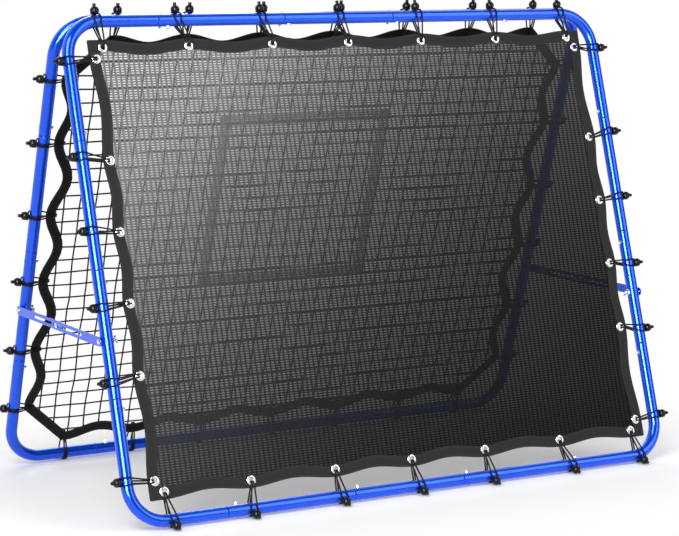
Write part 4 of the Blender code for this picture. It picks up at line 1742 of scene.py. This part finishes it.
@dataclass
class BraceFasteners:
    """The pivot bolts, the locking bolts and their wing nuts, in place of the plain solids."""

    head_radius: float = 0.0066
    head_height: float = 0.0038
    under_head: float = 0.0040
    shank_radius: float = 0.003
    thread_pitch: float = 0.001
    thread_root: float = 0.86
    washer_radius: float = 0.0078
    washer_height: float = 0.0010
    hub_radius: float = 0.0056
    wing_reach: float = 0.0135
    wing_thickness: float = 0.0024
    wing_height: float = 0.0062
    wing_rise: float = 0.0032
    wing_round: float = 0.0011
    leg_face: float = 0.745
    washer_sunk: float = 0.0004
    leg_nut_height: float = 0.0072
    leg_nut_turn: float = 0.9
    lock_nut_height: float = 0.0062
    lock_nut_turn: float = 0.35

    def head(self, shape: bmesh.types.BMesh, place: Matrix) -> None:
        """Adds a domed bolt head.

        Args:
            shape: what it is added to.
            place: its seat; Z points out of it.
        """
        radius, height = self.head_radius, self.head_height
        dome = [(0.0, height), (radius * 0.45, height * 0.96), (radius * 0.78, height * 0.74)]
        dome += [(radius * 0.97, height * 0.42), (radius, height * 0.2), (radius, 0.0), (0.0, 0.0)]
        add_turned(shape, dome, place, 24)

    def shank(self, shape: bmesh.types.BMesh, place: Matrix, length: float) -> None:
        """Adds the threaded shank.

        Args:
            shape: what it is added to.
            place: where it starts; it runs along Z.
            length: how long it is.
        """
        radius, pitch = self.shank_radius, self.thread_pitch
        profile = [(0.0, 0.0)]
        for turn in range(int(length / pitch)):
            profile += [(radius, turn * pitch), (radius * self.thread_root, (turn + 0.5) * pitch)]
        profile += [(radius * 0.8, length), (0.0, length)]
        add_turned(shape, profile, place, 14)

    def wing(self, shape: bmesh.types.BMesh, place: Matrix, way: int, height: float) -> None:
        """Adds one wing of a wing nut.

        Args:
            shape: what it is added to.
            place: the wing nut's seat.
            way: the sign of X on its side.
            height: how high the nut's hub is.
        """
        root = self.hub_radius * 0.5
        reach = self.wing_reach - root
        verts = bmesh.ops.create_cube(shape, size=1.0)["verts"]
        bmesh.ops.scale(shape, vec=(reach, self.wing_thickness, self.wing_height), verts=verts)
        for vert in verts:
            if vert.co.x * way > 0:
                vert.co.z += self.wing_rise
                vert.co.y *= 0.8
        middle = (way * (root + reach / 2), 0.0, height * 0.62)
        bmesh.ops.translate(shape, vec=middle, verts=verts)
        edges = list({edge for vert in verts for edge in vert.link_edges})
        made = bmesh.ops.bevel(
            shape, geom=edges, offset=self.wing_round, affect="EDGES", segments=3, profile=0.5, material=-1,
        )
        corners = {vert for face in made["faces"] for vert in face.verts}
        bmesh.ops.transform(shape, matrix=place, verts=joined_to(corners))

    def wing_nut(self, shape: bmesh.types.BMesh, place: Matrix, height: float) -> None:
        """Adds a wing nut, its wings rising along Z and across X.

        Args:
            shape: what it is added to.
            place: its seat.
            height: how high its hub is.
        """
        hub, bore = self.hub_radius, self.shank_radius * 0.98
        cone = [(bore, 0.0), (hub * 1.12, 0.0), (hub * 1.12, height * 0.18)]
        cone += [(hub, height * 0.3), (hub * 0.8, height), (bore, height)]
        add_turned(shape, cone, place, 20, closed=True)
        for way, _ in SIDES:
            self.wing(shape, place, way, height)

    def bolt(self, node: str, side: int) -> bmesh.types.BMesh:
        """Makes a bolt in the space of its plain solid, its head on the outer side.

        Args:
            node: the construction bolt.
            side: the sign of X on its side.

        Returns:
            The bolt's shape.
        """
        inwards = Vector((-side, 0.0, 0.0))
        outer, inner, middle = self.span(node, side)
        start = Vector((outer - side * self.under_head, middle.y, middle.z))
        shape = bmesh.new()
        self.head(shape, toward(start, -inwards))
        self.shank(shape, toward(start, inwards), abs(outer - inner) - self.under_head)
        return shape

    def pivot(self, node: str, side: int) -> bmesh.types.BMesh:
        """Makes a pivot bolt with the washer and the wing nut inside the leg.

        Args:
            node: the construction bolt.
            side: the sign of X on its side.

        Returns:
            The shape of all three.
        """
        inwards = Vector((-side, 0.0, 0.0))
        shape = self.bolt(node, side)
        middle = middle_of(node)
        face = Vector((side * self.leg_face, middle.y, middle.z))
        washer = disc(self.washer_radius, self.washer_height)
        add_turned(shape, washer, toward(face - inwards * self.washer_sunk, inwards), 24)
        seat = toward(face + inwards * 2 * self.washer_sunk, inwards)
        turned = seat @ Matrix.Rotation(self.leg_nut_turn, 4, "Z")
        self.wing_nut(shape, turned, self.leg_nut_height)
        return shape

    def lock_nut(self, node: str, side: int) -> bmesh.types.BMesh:
        """Makes the wing nut of a lock bolt.

        Args:
            node: the construction nut.
            side: the sign of X on its side.

        Returns:
            The nut's shape.
        """
        outer, _, middle = self.span(node, side)
        seat = toward(Vector((outer, middle.y, middle.z)), Vector((-side, 0.0, 0.0)))
        shape = bmesh.new()
        turned = seat @ Matrix.Rotation(self.lock_nut_turn, 4, "Z")
        self.wing_nut(shape, turned, self.lock_nut_height)
        return shape

    def span(self, node: str, side: int) -> tuple[float, float, Vector]:
        """Measures a node.

        Args:
            node: the construction node.
            side: the sign of X on its side.

        Returns:
            Its outer X, its inner X and its middle.
        """
        low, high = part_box(node)
        outer, inner = (high[0], low[0]) if side > 0 else (low[0], high[0])
        return outer, inner, middle_of(node)

    def build(self, maker: Maker, bodies: dict[str, str]) -> None:
        """Makes each bolt and nut in the space of its plain solid.

        Args:
            maker: what makes the pieces.
            bodies: the body of each construction node.
        """
        for side, name in SIDES:
            shapes = {f"{end}_{name}_pivot_bolt": self.pivot for end in ("front", "back")}
            shapes |= {f"{name}_lock_bolt": self.bolt, f"{name}_lock_wing_nut": self.lock_nut}
            for node, make in shapes.items():
                shape = make(node, side)
                maker.piece(f"{node}_set", shape, bodies[node], Finish.ZINC, replaced=[node], angle=32)
        LOG.info("braces: four pivot bolts, two lock bolts and two wing nuts")


# ---- the studio ----------------------------------------------------------------------------------


@dataclass
class Studio:
    """A pale floor and backdrop, soft lamps and the camera."""

    camera_place: Point3 = (-2.8551, -4.9198, 1.3547)
    yaw: float = 0.5267
    pitch: float = 0.1470
    roll: float = 0.0049
    lens: float = 118.545
    floor_size: float = 30.0
    floor_lift: float = 0.12
    world_level: float = 0.52
    room_level: float = 0.05

    def camera(self) -> None:
        """Makes the camera."""
        forward = Vector((
            math.sin(self.yaw) * math.cos(self.pitch),
            math.cos(self.yaw) * math.cos(self.pitch),
            -math.sin(self.pitch),
        ))
        right = Vector((math.cos(self.yaw), -math.sin(self.yaw), 0.0))
        up = right.cross(forward)
        turned_right = right * math.cos(self.roll) + up * math.sin(self.roll)
        turned_up = up * math.cos(self.roll) - right * math.sin(self.roll)
        lens = bpy.data.cameras.new("camera")
        lens.lens = self.lens
        lens.sensor_width = 36.0
        lens.clip_end = 100.0
        holder = bpy.data.objects.new("camera", lens)
        axes = Matrix((turned_right, turned_up, -forward)).transposed().to_4x4()
        holder.matrix_world = Matrix.Translation(self.camera_place) @ axes
        bpy.context.scene.collection.objects.link(holder)
        bpy.context.scene.camera = holder

    def floor(self) -> None:
        """Makes the floor, which is white to the eye away from the object and keeps its shadow."""
        shader = Shader("pale_floor", (0.88, 0.88, 0.88), Roughness=0.9, Specular_IOR_Level=0.1)
        place = shader.node("ShaderNodeSeparateXYZ", {}, {0: shader.place()})
        across, along = (Value(shader, place.outputs[number]) for number in (0, 1))
        beyond = (abs(across) - 0.8).math("MAXIMUM", 0.0).math("POWER", 2.0)
        beyond = beyond + (abs(along) - 0.42).math("MAXIMUM", 0.0).math("POWER", 2.0)
        far = beyond.math("SQRT").step(0.08, 0.45)
        paths = shader.node("ShaderNodeLightPath", {}, {}).outputs
        seen = Value(shader, paths["Is Camera Ray"])
        for kind in ("Is Glossy Ray", "Is Transmission Ray"):
            seen = seen.math("MAXIMUM", Value(shader, paths[kind]))
        glow = shader.node("ShaderNodeEmission", {}, {"Strength": 1.0})
        lift = shader.node("ShaderNodeEmission", {}, {"Strength": seen * self.floor_lift})
        lit = shader.node("ShaderNodeAddShader", {}, {0: shader.bsdf.outputs[0], 1: lift.outputs[0]})
        mixed = shader.node("ShaderNodeMixShader", {}, {0: far * seen, 1: lit.outputs[0], 2: glow.outputs[0]})
        shader.feed(shader.tree.nodes["Material Output"].inputs["Surface"], mixed.outputs[0])
        shape = bmesh.new()
        bmesh.ops.create_grid(shape, x_segments=1, y_segments=1, size=self.floor_size / 2)
        mesh = bpy.data.meshes.new("floor")
        shape.to_mesh(mesh)
        shape.free()
        mesh.materials.append(shader.material)
        floor = bpy.data.objects.new("floor", mesh)
        bpy.context.scene.collection.objects.link(floor)

    def lamp(
        self, name: str, place: Point3, aim: Point3, size: Point2, power: float, glint: bool = False,
    ) -> None:
        """Makes one soft rectangular lamp.

        Args:
            name: its name.
            place: where it stands.
            aim: the point that it faces.
            size: its width and height.
            power: its power in watts.
            glint: whether it shows in gloss only.
        """
        light = bpy.data.lights.new(name, "AREA")
        light.shape = "RECTANGLE"
        light.size, light.size_y = size
        light.energy = power
        holder = bpy.data.objects.new(name, light)
        direction = Vector(aim) - Vector(place)
        turn = direction.to_track_quat("-Z", "Y").to_matrix().to_4x4()
        holder.matrix_world = Matrix.Translation(place) @ turn
        holder.visible_diffuse = not glint
        bpy.context.scene.collection.objects.link(holder)

    @staticmethod
    def world_mix(
        tree: bpy.types.NodeTree, share: bpy.types.NodeSocket, low: float | bpy.types.NodeSocket,
        high: float | bpy.types.NodeSocket, limits: Point2 = (0.0, 1.0),
    ) -> bpy.types.NodeSocket:
        """Runs a level from low to high as a share goes from the first to the second limit.

        Args:
            tree: the world's nodes.
            share: what the level follows.
            low: the level at the first limit.
            high: the level at the second limit.
            limits: the two limits.

        Returns:
            The level.
        """
        node = tree.nodes.new("ShaderNodeMapRange")
        inputs = {"Value": share, "From Min": limits[0], "From Max": limits[1], "To Min": low, "To Max": high}
        for name, value in inputs.items():
            if isinstance(value, float):
                node.inputs[name].default_value = value
            else:
                tree.links.new(value, node.inputs[name])
        return node.outputs["Result"]

    def build(self) -> None:
        """Makes the studio."""
        self.camera()
        self.floor()
        self.lamp("key", (-3.2, -2.6, 4.2), (0.0, 0.0, 0.5), (2.6, 2.6), 150.0)
        self.lamp("right_box", (4.0, -5.2, 4.2), (0.0, 0.0, 0.6), (4.2, 6.5), 215.0)
        self.lamp("left_glint", (-4.4, -5.2, 2.2), (0.0, 0.0, 0.6), (3.7, 3.4), 620.0, glint=True)
        self.lamp("rear", (1.0, 4.2, 3.4), (0.0, 0.0, 0.5), (3.0, 2.0), 75.0)
        world = bpy.data.worlds.new("studio")
        world.use_nodes = True
        tree = world.node_tree
        tree.nodes["Background"].inputs["Color"].default_value = (1.0, 1.0, 1.0, 1.0)
        paths = tree.nodes.new("ShaderNodeLightPath").outputs
        direction = tree.nodes.new("ShaderNodeSeparateXYZ")
        tree.links.new(tree.nodes.new("ShaderNodeTexCoord").outputs["Generated"], direction.inputs[0])
        room = self.world_mix(tree, direction.outputs["Y"], self.room_level, 1.0, (-0.05, 0.35))
        shiny = self.world_mix(tree, paths["Is Glossy Ray"], self.world_level, room)
        clear = self.world_mix(tree, paths["Is Transmission Ray"], shiny, 1.0)
        seen = self.world_mix(tree, paths["Is Camera Ray"], clear, 1.0)
        tree.links.new(seen, tree.nodes["Background"].inputs["Strength"])
        bpy.context.scene.world = world
        bpy.context.scene.view_settings.view_transform = "Standard"


# ---- the whole object ----------------------------------------------------------------------------


def mat_bungees(panel: Panel, mat: Mat) -> BungeeSet:
    """Lists the bungees that hold the mat, each a little off its eyelet as they settle in use.

    Args:
        panel: the front frame's plane.
        mat: the mat.

    Returns:
        The bungees.
    """
    insets = (mat.eyelet_inset, mat.eyelet_inset)
    eyes = eyes_round(panel, mat.rail_eyelets, mat.leg_eyelets, insets)
    legs = (0.100, 0.330, 0.5055, 0.687, 0.864, 1.094)
    return BungeeSet(
        panel,
        top=(-0.678, -0.466, -0.2345, -0.012, 0.219, 0.4495, 0.665),
        bottom=(-0.659, -0.451, -0.206, 0.015, 0.228, 0.473, 0.692),
        left=legs, right=legs, eyes=eyes, eye_depth=mat.depth,
        pass_by=mat.hole_radius - 0.0024, eye_half=0.0024, bottom_angle=55.9,
    )


def net_bungees(panel: Panel, net: Net) -> BungeeSet:
    """Lists the bungees that hold the net, each looped round its border.

    Args:
        panel: the back frame's plane.
        net: the net.

    Returns:
        The bungees.
    """
    eyes = eyes_round(panel, net.rail_places, net.leg_places, (net.rail_inset, net.leg_inset))
    top = (-0.606, -0.414, -0.2094, 0.013, 0.2094, 0.414, 0.606)
    return BungeeSet(
        panel, top=top, bottom=top, left=net.leg_places, right=net.leg_places, eyes=eyes,
        eye_depth=net.depth, pass_by=-(net.border_width / 2 + 0.0022), eye_half=0.0024,
        bottom_angle=55.9,
    )


def main() -> None:
    """Builds the looks over the construction model."""
    logging.basicConfig(level=logging.INFO, format="%(message)s")
    noise.seed_set(NOISE_SEED)
    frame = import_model()
    bodies = {node: body for body, nodes in frame["record"]["behaviour"]["bodies"].items() for node in nodes}
    maker = Maker({})
    front, back = Panel.read("front", -1), Panel.read("back", 1)
    for panel in (front, back):
        TubeFrame(panel).build(maker)
        JointBolts(panel).build(maker)
    HingeLeaves().build(maker, frame["nodes"], bodies)
    for node, thing in frame["nodes"].items():
        if "brace_bar" in node:
            maker.dress(thing, Finish.PAINT)
    mat, net = Mat(front), Net(back)
    mat.build(maker)
    net.build(maker)
    StrikeZone(back).build(maker)
    mat_bungees(front, mat).build(maker)
    net_bungees(back, net).build(maker)
    BraceFasteners().build(maker, bodies)
    Studio().build()
    LOG.info("pieces are done")


if __name__ == "__main__":
    main()
